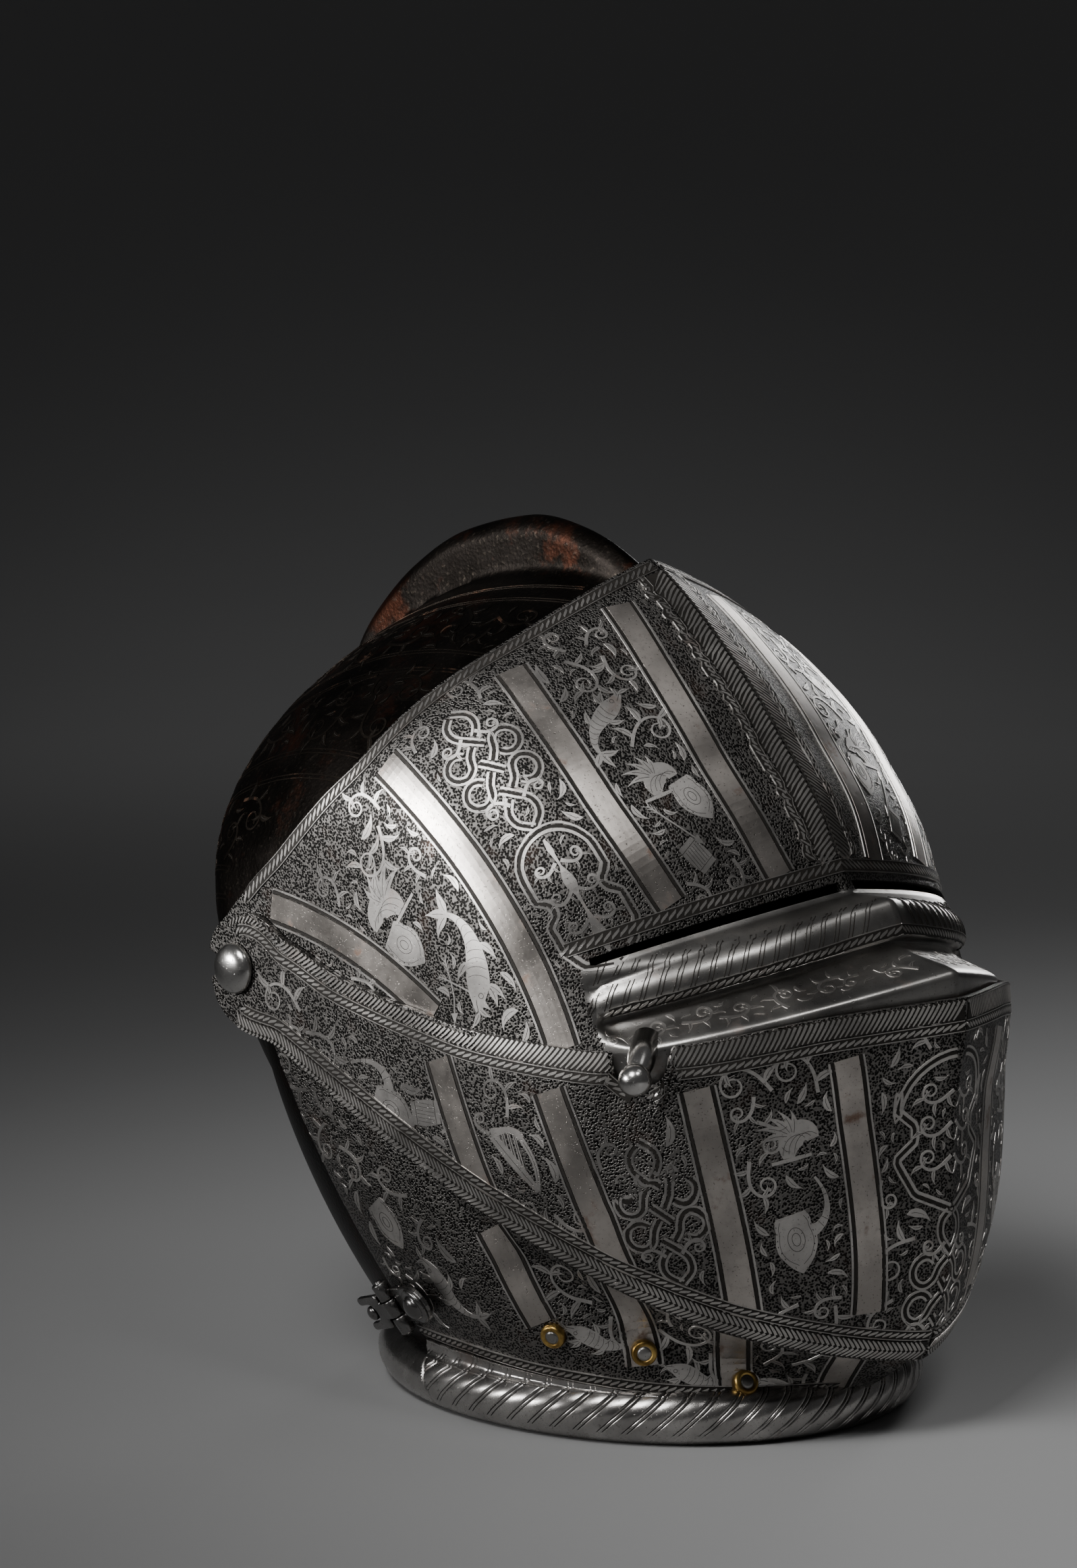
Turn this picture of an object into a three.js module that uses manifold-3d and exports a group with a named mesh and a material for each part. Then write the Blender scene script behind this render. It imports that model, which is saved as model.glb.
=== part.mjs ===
// An etched armet: a comb-crested skull with three face plates that swing on one pair of pivots.
// Millimetres, +Z up. The face looks along -Y and the wearer's right side is -X.
import * as THREE from 'three';
import { mergeVertices } from 'three/addons/utils/BufferGeometryUtils.js';
import Module from 'manifold-3d';

const wasm = await Module();
wasm.setup();

// Pivot axis, parallel to X
const PIVOT_Y = 75;
const PIVOT_Z = 144;
const PIVOT_HOLE = 3.5;

// Sheet and the half width of each plate at the pivot
const SHEET = 2;
const SHEET_AT_KEEL = 2.4;
const SKULL_SIDE = 102.5;
const LOWER_SIDE = 105.2;
const VISOR_SIDE = 107.9;
const UPPER_SIDE = 110.6;

// Neck rim: an oval tube with a flat underside
const NECK_Y = -9;
const NECK_HALF_X = 76;
const NECK_HALF_Y = 88;
const RIM_RADIUS = 9.5;
const RIM_HEIGHT = 9;
const NECK_EDGE_Z = 15;
const RIM_SPARE = 6;
const THROAT_OUT = 4;
const THROAT_DROP = 3;

// Seam between the skull and the lower bevor, as an angle below the horizontal
const SEAM = -66;
const SEAM_GAP = 0.3;

// Comb along the top of the skull
const COMB_HALF = 5;
const COMB_ROUND = 5;

const rad = THREE.MathUtils.degToRad;
const clamp = THREE.MathUtils.clamp;
const lerp = THREE.MathUtils.lerp;

// Angles are measured round the pivot axis: 0 points forward, 90 up, 180 back.
// reach is the distance of the middle line from the axis; power and round shape the rib to the side.
const SKULL_RIBS = [
  { at: 36, reach: 154.5, comb: 0, power: 5.2, round: 1 },
  { at: 46, reach: 152, comb: 0.5, power: 4.6, round: 1 },
  { at: 58, reach: 147.5, comb: 5.8, power: 3.8, round: 1 },
  { at: 69, reach: 138, comb: 14.8, power: 3.2, round: 0.9 },
  { at: 79, reach: 129, comb: 19.5, power: 2.8, round: 0.82 },
  { at: 91, reach: 119.5, comb: 19.5, power: 2.6, round: 0.78 },
  { at: 101, reach: 113, comb: 16.5, power: 2.5, round: 0.75 },
  { at: 110, reach: 108.5, comb: 12, power: 2.5, round: 0.75 },
  { at: 117, reach: 105.5, comb: 8, power: 2.5, round: 0.74 },
  { at: 124, reach: 101.5, comb: 3, power: 2.5, round: 0.73 },
  { at: 130, reach: 97.5, comb: 0, power: 2.5, round: 0.72 },
  { at: 150, reach: 80, comb: 0, power: 2.4, round: 0.72 },
  { at: 165, reach: 70.5, comb: 0, power: 2.3, round: 0.75 },
  { at: 180, reach: 65.5, comb: 0, power: 2.2, round: 0.78 },
  { at: 200, reach: 64.5, comb: 0, power: 2.1, round: 0.78 },
  { at: 214, reach: 67.5, comb: 0, power: 2.0, round: 0.78 },
  { at: 228, reach: 73.5, comb: 0, power: 1.9, round: 0.78 },
  { at: 241, reach: 82.5, comb: 0, power: 1.8, round: 0.78 },
  { at: 258, reach: 102, comb: 0, power: 1.75, round: 0.78 },
  { at: 266, reach: 118.5, comb: 0, power: 1.7, round: 0.8 },
  { at: 268, reach: 129, comb: 0, power: 1.7, round: 0.82 },
  { at: 294, reach: 141, comb: 0, power: 2.1, round: 0.95 },
];
const VISOR_RIBS = [
  { at: 58, reach: 158, power: 4.8 },
  { at: 46, reach: 157.8, power: 6.3 },
  { at: 30, reach: 161.6, power: 7.6 },
  { at: 20, reach: 168.4, power: 7.8 },
  { at: 12.2, reach: 172.8, power: 7.8 },
  { at: 10.4, reach: 174.8, power: 7.8 },
  { at: 9.4, reach: 190.5, power: 5.6 },
  { at: 7.1, reach: 192.7, power: 5.5 },
  { at: 5.9, reach: 193.4, power: 5.4 },
  { at: 5.2, reach: 190, power: 5.5 },
  { at: 4.2, reach: 199, power: 5.2 },
  { at: 2.8, reach: 215.6, power: 5.2 },
  { at: 1, reach: 215.8, power: 5.2 },
  { at: -4, reach: 213.5, power: 5.2 },
];
const UPPER_RIBS = [
  { at: 1, reach: 219.6, power: 5.2, round: 1 },
  { at: -3.4, reach: 218.8, power: 5.6, round: 1 },
  { at: -7.8, reach: 217.6, power: 5.8, round: 1 },
  { at: -12, reach: 219.5, power: 5.7, round: 0.96 },
  { at: -22, reach: 229.6, power: 5.0, round: 0.86 },
  { at: -26, reach: 232.4, power: 4.5, round: 0.8 },
  { at: -29, reach: 233.6, power: 4.1, round: 0.76 },
];
const LOWER_RIBS = [
  { at: -12, reach: 216, power: 4.2, round: 0.97 },
  { at: -22, reach: 226, power: 4.1, round: 0.88 },
  { at: -28.7, reach: 230, power: 4.0, round: 0.83 },
  { at: -30.5, reach: 229.6, power: 3.9, round: 0.83 },
  { at: -33.1, reach: 226.5, power: 3.7, round: 0.85 },
  { at: -35.3, reach: 223, power: 3.5, round: 0.88 },
  { at: -36.9, reach: 220, power: 3.4, round: 0.9 },
  { at: -66, reach: 141, power: 2.1, round: 0.95 },
];
// Upper edge of the upper bevor: angle at each distance from the axis
const UPPER_TOP_EDGE = [
  { at: 14, angle: 160 },
  { at: 17, angle: 108 },
  { at: 26, angle: 27 },
  { at: 50, angle: 3.1 },
  { at: 81, angle: -2.3 },
  { at: 110, angle: -4 },
  { at: 145, angle: -3.9 },
  { at: 173, angle: -2.3 },
  { at: 187, angle: -1.1 },
  { at: 200, angle: 0 },
  { at: 220, angle: 0.9 },
];
// Notch in that edge for the lifting peg
const NOTCH_AT = 158;
const NOTCH_SHARE = 0.732;
const NOTCH_HALF_SHARE = 0.034;
const NOTCH_DEPTH = 11.5;

const EAR = 15;
const UPPER_EDGE_SLOPE = 25.5;
const UPPER_EDGE_DROP = 13.2;
const UPPER_EDGE_FRONT = 1.25;
const UPPER_FRONT_FROM = 140;
const UPPER_FRONT_SPAN = 60;
// Rear edge of the visor: angle at each distance from the axis
const VISOR_REAR_EDGE = [
  { at: 15, angle: 150 },
  { at: 19, angle: 108 },
  { at: 27, angle: 84 },
  { at: 43, angle: 67 },
  { at: 68, angle: 59 },
  { at: 92, angle: 55.5 },
  { at: 130, angle: 55.5 },
  { at: 158, angle: 58 },
];
const FEATURE_DROP = 25;

// Sight: one slit each side of the bridge on the middle line
const SIGHT_TOP = 11.75;
const SIGHT_BOTTOM = 10.75;
const BRIDGE_HALF = 4;
const SIGHT_END = 88;

// Smooth, overshoot-free value between the rows of a table read along its `at` column.
function along(table, value, column) {
  const rows = table[0].at < table[table.length - 1].at ? table : [...table].reverse();
  const last = rows.length - 1;
  if (value <= rows[0].at) return rows[0][column];
  if (value >= rows[last].at) return rows[last][column];
  let k = 0;
  while (value > rows[k + 1].at) k += 1;
  const slope = (i) => (rows[i + 1][column] - rows[i][column]) / (rows[i + 1].at - rows[i].at);
  const tangent = (i) => {
    if (i === 0) return slope(0);
    if (i === last) return slope(last - 1);
    const before = slope(i - 1);
    const after = slope(i);
    return before * after <= 0 ? 0 : (2 * before * after) / (before + after);
  };
  const span = rows[k + 1].at - rows[k].at;
  const s = (value - rows[k].at) / span;
  const h = s * s * (3 - 2 * s);
  return (
    lerp(rows[k][column], rows[k + 1][column], h) +
    span * (s * (1 - s) * (1 - s) * tangent(k) - s * s * (1 - s) * tangent(k + 1))
  );
}

// Point at a distance from the pivot axis, at an angle round it
function place(x, distance, angle) {
  const y = PIVOT_Y - distance * Math.cos(rad(angle));
  return new THREE.Vector3(x, y, PIVOT_Z + distance * Math.sin(rad(angle)));
}

// Rib ends on the neck oval: angle, distance and half width at a turn round the oval from the back
function neckEnd(turn) {
  const front = Math.max(-Math.cos(rad(turn)), 0);
  const ahead = PIVOT_Y - (NECK_Y + (NECK_HALF_Y + THROAT_OUT * front) * Math.cos(rad(turn)));
  const below = PIVOT_Z - NECK_EDGE_Z + THROAT_DROP * front;
  const angle = -THREE.MathUtils.radToDeg(Math.atan2(below, ahead));
  const half = (NECK_HALF_X + THROAT_OUT * front) * Math.sin(rad(turn));
  return { angle, reach: Math.hypot(ahead, below), half };
}

function blendMax(a, b, width) {
  const h = Math.max(width - Math.abs(a - b), 0) / width;
  return Math.max(a, b) + (h * h * width) / 4;
}

// Half width of a plain rib at a share t of its reach
function ribHalf(side, end, power, round, t) {
  return end + (side - end) * Math.max(1 - t ** power, 0) ** round;
}

// Skull rib: dome, then the comb where there is one. s runs 0 at the pivot to 1 at the rib's end.
const DOME_SHARE = 0.7;
const COMB_FOOT = 16;
function skullRib(angle, s, end, inset) {
  const side = SKULL_SIDE - inset;
  const power = along(SKULL_RIBS, angle, 'power');
  const round = along(SKULL_RIBS, angle, 'round');
  const dome = (end ? end.reach : along(SKULL_RIBS, angle, 'reach')) - (end ? 0 : inset);
  const comb = end ? 0 : along(SKULL_RIBS, angle, 'comb');
  const half = end ? Math.max(end.half - inset, 0) : 0;
  const start = PIVOT_HOLE / dome;
  if (half > 0 || end) {
    const t = start + (1 - start) * (1 - (1 - s) ** (1 / round));
    return { r: t * dome, x: ribHalf(side, half, power, round, t) };
  }
  const foot = (1 - (COMB_FOOT / side) ** (1 / round)) ** (1 / power);
  if (s <= DOME_SHARE) {
    const k = s / DOME_SHARE;
    const t = start + (foot - start) * (1 - (1 - k) ** 1.25);
    return { r: t * dome, x: ribHalf(side, 0, power, round, t) };
  }
  const crest = dome + comb;
  const k = (s - DOME_SHARE) / (1 - DOME_SHARE);
  const r = lerp(foot * dome, crest, 1 - (1 - k) ** 1.5);
  const domeHalf = ribHalf(side, 0, power, round, Math.min(r / dome, 1));
  const fin = (COMB_HALF - inset) * Math.sqrt(clamp((crest - r) / COMB_ROUND, 0, 1));
  const reached = clamp((crest - r) / 2, 0, 1);
  return { r, x: lerp(0, blendMax(domeHalf, fin, 7 * clamp(comb / 10, 0.02, 1)), reached) };
}

// Closed solid from two matching sheets. Each face is a list of point keys, outward on the outer sheet.
function closedSheet(outer, inner, faces) {
  const index = new Map();
  const spots = [];
  const number = (key) => {
    const p = outer.get(key);
    const tag = `${p.x.toFixed(4)},${p.y.toFixed(4)},${p.z.toFixed(4)}`;
    if (!index.has(tag)) {
      index.set(tag, spots.length);
      spots.push([p, inner.get(key)]);
    }
    return index.get(tag);
  };
  const tris = [];
  for (const face of faces) {
    const loop = face.map(number).filter((n, i, all) => n !== all[(i + 1) % all.length]);
    for (let i = 1; i + 1 < loop.length; i += 1) tris.push([loop[0], loop[i], loop[i + 1]]);
  }
  const edges = new Map();
  for (const t of tris) {
    for (let i = 0; i < 3; i += 1) {
      const [a, b] = [t[i], t[(i + 1) % 3]];
      if (edges.has(`${b},${a}`)) edges.delete(`${b},${a}`);
      else edges.set(`${a},${b}`, [a, b]);
    }
  }
  const count = spots.length;
  const all = [...tris];
  for (const t of tris) all.push([t[2] + count, t[1] + count, t[0] + count]);
  for (const [a, b] of edges.values()) {
    all.push([b, a, a + count]);
    all.push([b, a + count, b + count]);
  }
  const places = [...spots.map((s) => s[0]), ...spots.map((s) => s[1])];
  return outward(places, all);
}

function solid(places, tris) {
  const mesh = new wasm.Mesh({
    numProp: 3,
    vertProperties: new Float32Array(places.flatMap((p) => [p.x, p.y, p.z])),
    triVerts: new Uint32Array(tris.flat()),
  });
  return new wasm.Manifold(mesh);
}

// The same solid with its faces turned outward
function outward(places, tris) {
  const made = solid(places, tris);
  return made.volume() > 0 ? made : solid(places, tris.map((t) => [t[2], t[1], t[0]]));
}

// Plate from ear to ear. point(s, side, row, inset) gives a place; s is 0 at the ear and 1 at the middle.
function plate(rows, steps, point, skip = () => false, skin = 0, depth = SHEET) {
  const outer = new Map();
  const inner = new Map();
  const faces = [];
  for (const side of [-1, 1]) {
    for (let j = 0; j < rows; j += 1) {
      for (let i = 0; i < steps.length; i += 1) {
        outer.set(`${side},${i},${j}`, point(steps[i], side, j, skin));
        inner.set(`${side},${i},${j}`, point(steps[i], side, j, depth));
      }
    }
    for (let j = 0; j + 1 < rows; j += 1) {
      for (let i = 0; i + 1 < steps.length; i += 1) {
        if (skip(steps[i], steps[i + 1], side, j)) continue;
        const loop = [
          `${side},${i},${j}`,
          `${side},${i + 1},${j}`,
          `${side},${i + 1},${j + 1}`,
          `${side},${i},${j + 1}`,
        ];
        faces.push(side < 0 ? loop : loop.reverse());
      }
    }
  }
  return closedSheet(outer, inner, faces);
}

const even = (count) => Array.from({ length: count + 1 }, (_, i) => i / count);

// Half space ahead of (sign 1) or behind (sign -1) the plane through the pivot axis at an angle
function trimAtSeam(made, angle, sign) {
  const normal = [0, sign * Math.sin(rad(angle)), sign * Math.cos(rad(angle))];
  return made.trimByPlane(normal, normal[1] * PIVOT_Y + normal[2] * PIVOT_Z);
}

// Rim tube round the neck oval between two turns counted from the back
function rimTube(from, to, count, grow = 0) {
  const places = [];
  const tris = [];
  const sides = 12;
  const flat = Math.asin(RIM_HEIGHT / RIM_RADIUS);
  for (let j = 0; j <= count; j += 1) {
    const turn = rad(lerp(from, to, j / count));
    const out = new THREE.Vector2(Math.sin(turn) / NECK_HALF_X, Math.cos(turn) / NECK_HALF_Y).normalize();
    for (let i = 0; i < sides; i += 1) {
      const a = -flat + ((Math.PI + 2 * flat) * i) / (sides - 1);
      const away = (RIM_RADIUS + grow) * Math.cos(a);
      places.push(
        new THREE.Vector3(
          NECK_HALF_X * Math.sin(turn) + out.x * away,
          NECK_Y + NECK_HALF_Y * Math.cos(turn) + out.y * away,
          RIM_HEIGHT + (RIM_RADIUS + grow) * Math.sin(a),
        ),
      );
    }
  }
  for (let j = 0; j < count; j += 1) {
    for (let i = 0; i < sides; i += 1) {
      const k = (i + 1) % sides;
      const [a, b, c, d] = [j * sides + i, j * sides + k, (j + 1) * sides + k, (j + 1) * sides + i];
      tris.push([a, b, c], [a, c, d]);
    }
  }
  const end = count * sides;
  for (let i = 1; i + 1 < sides; i += 1) {
    tris.push([0, i + 1, i], [end, end + i, end + i + 1]);
  }
  return outward(places, tris);
}

// Skull: rows fan out from the brow edge, run over the crown and end at the seam
const BROW = 36;
const BROW_FREE = 84;
const SKULL_ROWS = [36, 44, 52, 60, 67, 73, 79, 85, 91, 97, 103, 109, 115, 121, 128, 138, 150, 163, 177];
const NAPE_ROWS = [194, 211, 227, 242, 255, 263];
const BROW_EDGE = [
  { at: 14, angle: -64 },
  { at: 20, angle: -46 },
  { at: 30, angle: -10 },
  { at: 46, angle: 10 },
  { at: 64, angle: 22 },
  { at: 110, angle: 32 },
  { at: 154, angle: 36 },
];
const SEAM_TURN = seamTurn(SEAM - SEAM_GAP);
const SKULL_NECK_TURNS = [0, 15, 30, 45, 60, SEAM_TURN];

// Turn round the neck oval at which the ribs reach a given angle
function seamTurn(angle) {
  const ahead = (PIVOT_Z - NECK_EDGE_Z) / Math.tan(rad(-angle));
  return THREE.MathUtils.radToDeg(Math.acos((PIVOT_Y - ahead - NECK_Y) / NECK_HALF_Y));
}

function skullPoint(s, side, row, inset) {
  const free = [...SKULL_ROWS, ...NAPE_ROWS];
  if (row < free.length) {
    const rib = skullRib(free[row], s, null, inset);
    const spread = clamp((BROW_FREE - free[row]) / (BROW_FREE - BROW), 0, 1);
    const angle = lerp(free[row], free[row] - BROW + along(BROW_EDGE, rib.r, 'angle'), spread);
    return place(side * rib.x, rib.r, angle);
  }
  const end = neckEnd(SKULL_NECK_TURNS[row - free.length]);
  const rib = skullRib(end.angle + 360, s, end, inset);
  return place(side * rib.x, rib.r, end.angle);
}

function buildSkull(skin = 0, depth = SHEET) {
  const rows = SKULL_ROWS.length + NAPE_ROWS.length + SKULL_NECK_TURNS.length;
  const steps = [0, 0.1, 0.2, 0.3, 0.4, 0.5, 0.6, 0.7, 0.79, 0.88, 0.95, 1];
  const sheet = plate(rows, steps, skullPoint, undefined, skin, depth);
  const tube = rimTube(-SEAM_TURN - RIM_SPARE, SEAM_TURN + RIM_SPARE, 16, -skin);
  return sheet.add(trimAtSeam(tube, SEAM - SEAM_GAP, -1));
}

// Lower bevor: from its hidden upper edge to the neck, then back to the seam
const LOWER_ROWS = [-13, -17, -21, -25, -28.7, -30.5, -33.1, -35.3];
const LOWER_EAR = [
  { at: 13, angle: 170 },
  { at: 16, angle: 100 },
  { at: 24, angle: 25 },
  { at: 38, angle: -4 },
  { at: 60, angle: -13 },
  { at: 220, angle: -13 },
];
const LOWER_TURN = seamTurn(SEAM);
const LOWER_NECK_TURNS = [180, 165, 150, 135, 120, 105, 90, LOWER_TURN];

function lowerPoint(s, side, row, inset) {
  if (row < LOWER_ROWS.length) {
    const at = LOWER_ROWS[row];
    const reach = along(LOWER_RIBS, at, 'reach') - inset * (SHEET_AT_KEEL / SHEET);
    const start = PIVOT_HOLE / reach;
    const round = along(LOWER_RIBS, at, 'round');
    const t = start + (1 - start) * (1 - (1 - s) ** (1 / round));
    const spread = clamp((at + 36) / 23, 0, 1);
    const angle = at + spread * (along(LOWER_EAR, t * reach, 'angle') + 13);
    const x = ribHalf(LOWER_SIDE - inset, 0, along(LOWER_RIBS, at, 'power'), round, t);
    return place(side * x, t * reach, angle);
  }
  const end = neckEnd(LOWER_NECK_TURNS[row - LOWER_ROWS.length]);
  const start = PIVOT_HOLE / end.reach;
  const round = along(LOWER_RIBS, end.angle, 'round');
  const t = start + (1 - start) * (1 - (1 - s) ** (1 / round));
  const half = Math.max(end.half - inset, 0);
  const x = ribHalf(LOWER_SIDE - inset, half, along(LOWER_RIBS, end.angle, 'power'), round, t);
  return place(side * x, t * end.reach, end.angle);
}

function buildLower(skin = 0, depth = SHEET) {
  const rows = LOWER_ROWS.length + LOWER_NECK_TURNS.length;
  const sheet = plate(rows, even(10), lowerPoint, undefined, skin, depth);
  const tube = rimTube(LOWER_TURN - RIM_SPARE, 360 - LOWER_TURN + RIM_SPARE, 22, -skin);
  return sheet.add(trimAtSeam(tube, SEAM, 1));
}

// Visor: rows from the rear edge down past the sight and the roped flange to the hidden lower edge
const FLANGE_ROWS = [10.3, 9.4, 7.1, 5.9, 5.2, 4.2, 2.8, 0, -4];
const VISOR_ROWS = [58, 51, 44, 37, 30, 24, 18, SIGHT_TOP, SIGHT_BOTTOM, ...FLANGE_ROWS];
const VISOR_STEPS = [0, 0.05, 0.1, 0.2, 0.32, 0.45, 0.56, 0.65, 0.74, 0.82, 0.88, 0.93, 0.965, 0.99, 1];

function visorPoint(s, side, row, inset) {
  const at = VISOR_ROWS[row];
  const reach = along(VISOR_RIBS, at, 'reach') - inset * (SHEET_AT_KEEL / SHEET);
  const start = PIVOT_HOLE / reach;
  const t = start + (1 - start) * s;
  const r = t * reach;
  const low = -FEATURE_DROP * clamp(1 - t, 0, 0.26) * clamp((40 - at) / 28, 0, 1);
  const up = clamp((at - 12) / 46, 0, 1) ** 1.5 * (along(VISOR_REAR_EDGE, r, 'angle') - 58);
  const ear = clamp((EAR * 2 - r) / EAR, 0, 1);
  const down = -ear * ear * 130 * clamp((12 - at) / 16, 0, 1);
  const x = ribHalf(VISOR_SIDE - inset, 0, along(VISOR_RIBS, at, 'power'), 1, t);
  return place(side * x, r, at + low + up + down);
}

function buildVisor(skin = 0, depth = SHEET) {
  const slitRow = VISOR_ROWS.indexOf(SIGHT_TOP);
  const half = (s) => ribHalf(VISOR_SIDE, 0, along(VISOR_RIBS, SIGHT_TOP, 'power'), 1, s);
  const skip = (a, b, side, row) => row === slitRow && half(a) < SIGHT_END && half(b) > BRIDGE_HALF;
  return plate(VISOR_ROWS.length, VISOR_STEPS, visorPoint, skip, skin, depth);
}

// Upper bevor: the notch for the peg dips into its upper edge on the right only
const NOTCH_STEPS = [-1, -0.92, -0.5, 0, 0.5, 0.92, 1].map((k) => NOTCH_SHARE + k * NOTCH_HALF_SHARE);
const UPPER_STEPS = [0, 0.05, 0.1, 0.2, 0.3, 0.42, 0.53, 0.62, ...NOTCH_STEPS, 0.8, 0.86, 0.91, 0.95, 0.983, 1];
const UPPER_ROWS = 11;

function upperPoint(s, side, row, inset) {
  const v = row / (UPPER_ROWS - 1);
  const middle = lerp(0.9, -30, v);
  const reach = along(UPPER_RIBS, middle, 'reach') - inset * (SHEET_AT_KEEL / SHEET);
  const start = PIVOT_HOLE / reach;
  const t = start + (1 - start) * s;
  const r = t * reach;
  const from = t * along(UPPER_RIBS, 1, 'reach');
  let top = along(UPPER_TOP_EDGE, from, 'angle');
  if (side < 0) {
    const off = Math.abs(s - NOTCH_SHARE) / NOTCH_HALF_SHARE;
    const dip = off < 1 ? Math.sqrt(1 - off ** 4) : 0;
    top -= THREE.MathUtils.radToDeg(NOTCH_DEPTH / NOTCH_AT) * dip;
  }
  const drop = THREE.MathUtils.radToDeg(Math.asin(clamp(UPPER_EDGE_DROP / r, 0, 1)));
  const ear = clamp((EAR * 2 - r) / EAR, 0, 1);
  const front = UPPER_EDGE_FRONT * clamp((r - UPPER_FRONT_FROM) / UPPER_FRONT_SPAN, 0, 1);
  const low = -UPPER_EDGE_SLOPE - drop - front - ear * ear * 45;
  const power = along(UPPER_RIBS, middle, 'power');
  const x = ribHalf(UPPER_SIDE - inset, 0, power, along(UPPER_RIBS, middle, 'round'), t);
  return place(side * x, r, lerp(top, low, v));
}

function buildUpper() {
  return plate(UPPER_ROWS, UPPER_STEPS, upperPoint);
}

// Solid from a geometry: its points are merged and the empty triangles at its poles are dropped
function solidOf(geometry) {
  geometry.deleteAttribute('normal');
  geometry.deleteAttribute('uv');
  const merged = mergeVertices(geometry);
  const spot = merged.getAttribute('position');
  const place = (_, i) => new THREE.Vector3().fromBufferAttribute(spot, i);
  const places = Array.from({ length: spot.count }, place);
  const corners = merged.getIndex().array;
  const tris = [];
  for (let i = 0; i < corners.length; i += 3) {
    const [a, b, c] = corners.slice(i, i + 3);
    if (a !== b && b !== c && c !== a) tris.push([a, b, c]);
  }
  return outward(places, tris);
}

// Turned solid: profile of { r, h } from the axis back to the axis, h along +Z
function turned(profile, sides) {
  const outline = profile.map((p) => new THREE.Vector2(p.r, p.h));
  return solidOf(new THREE.LatheGeometry(outline, sides).rotateX(Math.PI / 2));
}

// Moves a solid so that its +Z runs along a direction from a start; across sets where its +X leans
function aim(made, start, direction, across = new THREE.Vector3(0, 0, 1)) {
  const z = direction.clone().normalize();
  const x = across.clone().addScaledVector(z, -across.dot(z)).normalize();
  const y = new THREE.Vector3().crossVectors(z, x);
  const frame = new THREE.Matrix4().makeBasis(x, y, z).setPosition(start);
  return made.transform(frame.elements);
}

// The one piece of a trimmed solid that is left outside a plate
function largest(made) {
  return made.decompose().sort((a, b) => b.volume() - a.volume())[0];
}

function block(from, to) {
  const size = new THREE.Vector3().subVectors(to, from);
  const middle = new THREE.Vector3().addVectors(from, to).multiplyScalar(0.5);
  const box = new THREE.BoxGeometry(size.x, size.y, size.z);
  return solidOf(box.translate(middle.x, middle.y, middle.z));
}

const TOUCH = 0.3;
const TRIM_DEPTH = 9;

// Pivot: domed head outside, shank through all four plates, washer inside
const PIVOT_HEAD = 8.5;
const PIVOT_DOME = 5;
const PIVOT_SHANK = 3;
const PIVOT_WASHER = 6.5;
const PIVOT_SEAT = UPPER_SIDE + 0.4;
const PIVOT_END = SKULL_SIDE - SHEET - 1.5;
function buildPivot(side) {
  const profile = [
    { r: 0, h: PIVOT_END - 3 },
    { r: PIVOT_WASHER - 1, h: PIVOT_END - 3 },
    { r: PIVOT_WASHER, h: PIVOT_END - 1.5 },
    { r: PIVOT_WASHER, h: PIVOT_END },
    { r: PIVOT_SHANK, h: PIVOT_END },
    { r: PIVOT_SHANK, h: PIVOT_SEAT },
    { r: PIVOT_HEAD, h: PIVOT_SEAT },
    { r: PIVOT_HEAD, h: PIVOT_SEAT + 0.9 },
    { r: PIVOT_HEAD * 0.86, h: PIVOT_SEAT + PIVOT_DOME * 0.58 },
    { r: PIVOT_HEAD * 0.5, h: PIVOT_SEAT + PIVOT_DOME * 0.9 },
    { r: 0, h: PIVOT_SEAT + PIVOT_DOME },
  ];
  const start = new THREE.Vector3(0, PIVOT_Y, PIVOT_Z);
  return aim(turned(profile, 14), start, new THREE.Vector3(side, 0, 0));
}

// Lifting peg: a waisted post with a ball, leaning down and out of the notch
const PEG_FOOT = new THREE.Vector3(-84.4, -84.2, 134);
const PEG_LEAN = new THREE.Vector3(-0.76, -0.45, -0.45);
const PEG_LENGTH = 15;
const PEG_BALL = 5.2;
function buildPeg() {
  const ball = [];
  for (let a = -50; a < 90; a += 25) {
    const h = PEG_LENGTH + PEG_BALL * Math.sin(rad(a));
    ball.push({ r: PEG_BALL * Math.cos(rad(a)), h });
  }
  const profile = [
    { r: 0, h: -6 },
    { r: 4.5, h: -6 },
    { r: 4.5, h: 5.5 },
    { r: 3.4, h: 7 },
    { r: 3.1, h: 9.6 },
    ...ball,
    { r: 0, h: PEG_LENGTH + PEG_BALL },
  ];
  const post = aim(turned(profile, 12), PEG_FOOT, PEG_LEAN);
  return largest(post.subtract(buildVisor(-TOUCH, TRIM_DEPTH)));
}

// Place and outward direction on the lower bevor at a turn round the neck and a share of the rib
function lowerFrame(turn, s, side) {
  const at = (t, k) => {
    const end = neckEnd(t);
    const start = PIVOT_HOLE / end.reach;
    const round = along(LOWER_RIBS, end.angle, 'round');
    const share = start + (1 - start) * (1 - (1 - k) ** (1 / round));
    const x = ribHalf(LOWER_SIDE, end.half, along(LOWER_RIBS, end.angle, 'power'), round, share);
    return place(side * x, share * end.reach, end.angle);
  };
  const spot = at(turn, s);
  const ahead = at(turn + 1, s).sub(at(turn - 1, s)).normalize();
  const down = at(turn, s + 0.01).sub(at(turn, s - 0.01)).normalize();
  const out = new THREE.Vector3().crossVectors(ahead, down).normalize();
  if (out.dot(new THREE.Vector3(side, -0.2, 0)) < 0) out.negate();
  return { spot, ahead, down, out };
}

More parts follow.
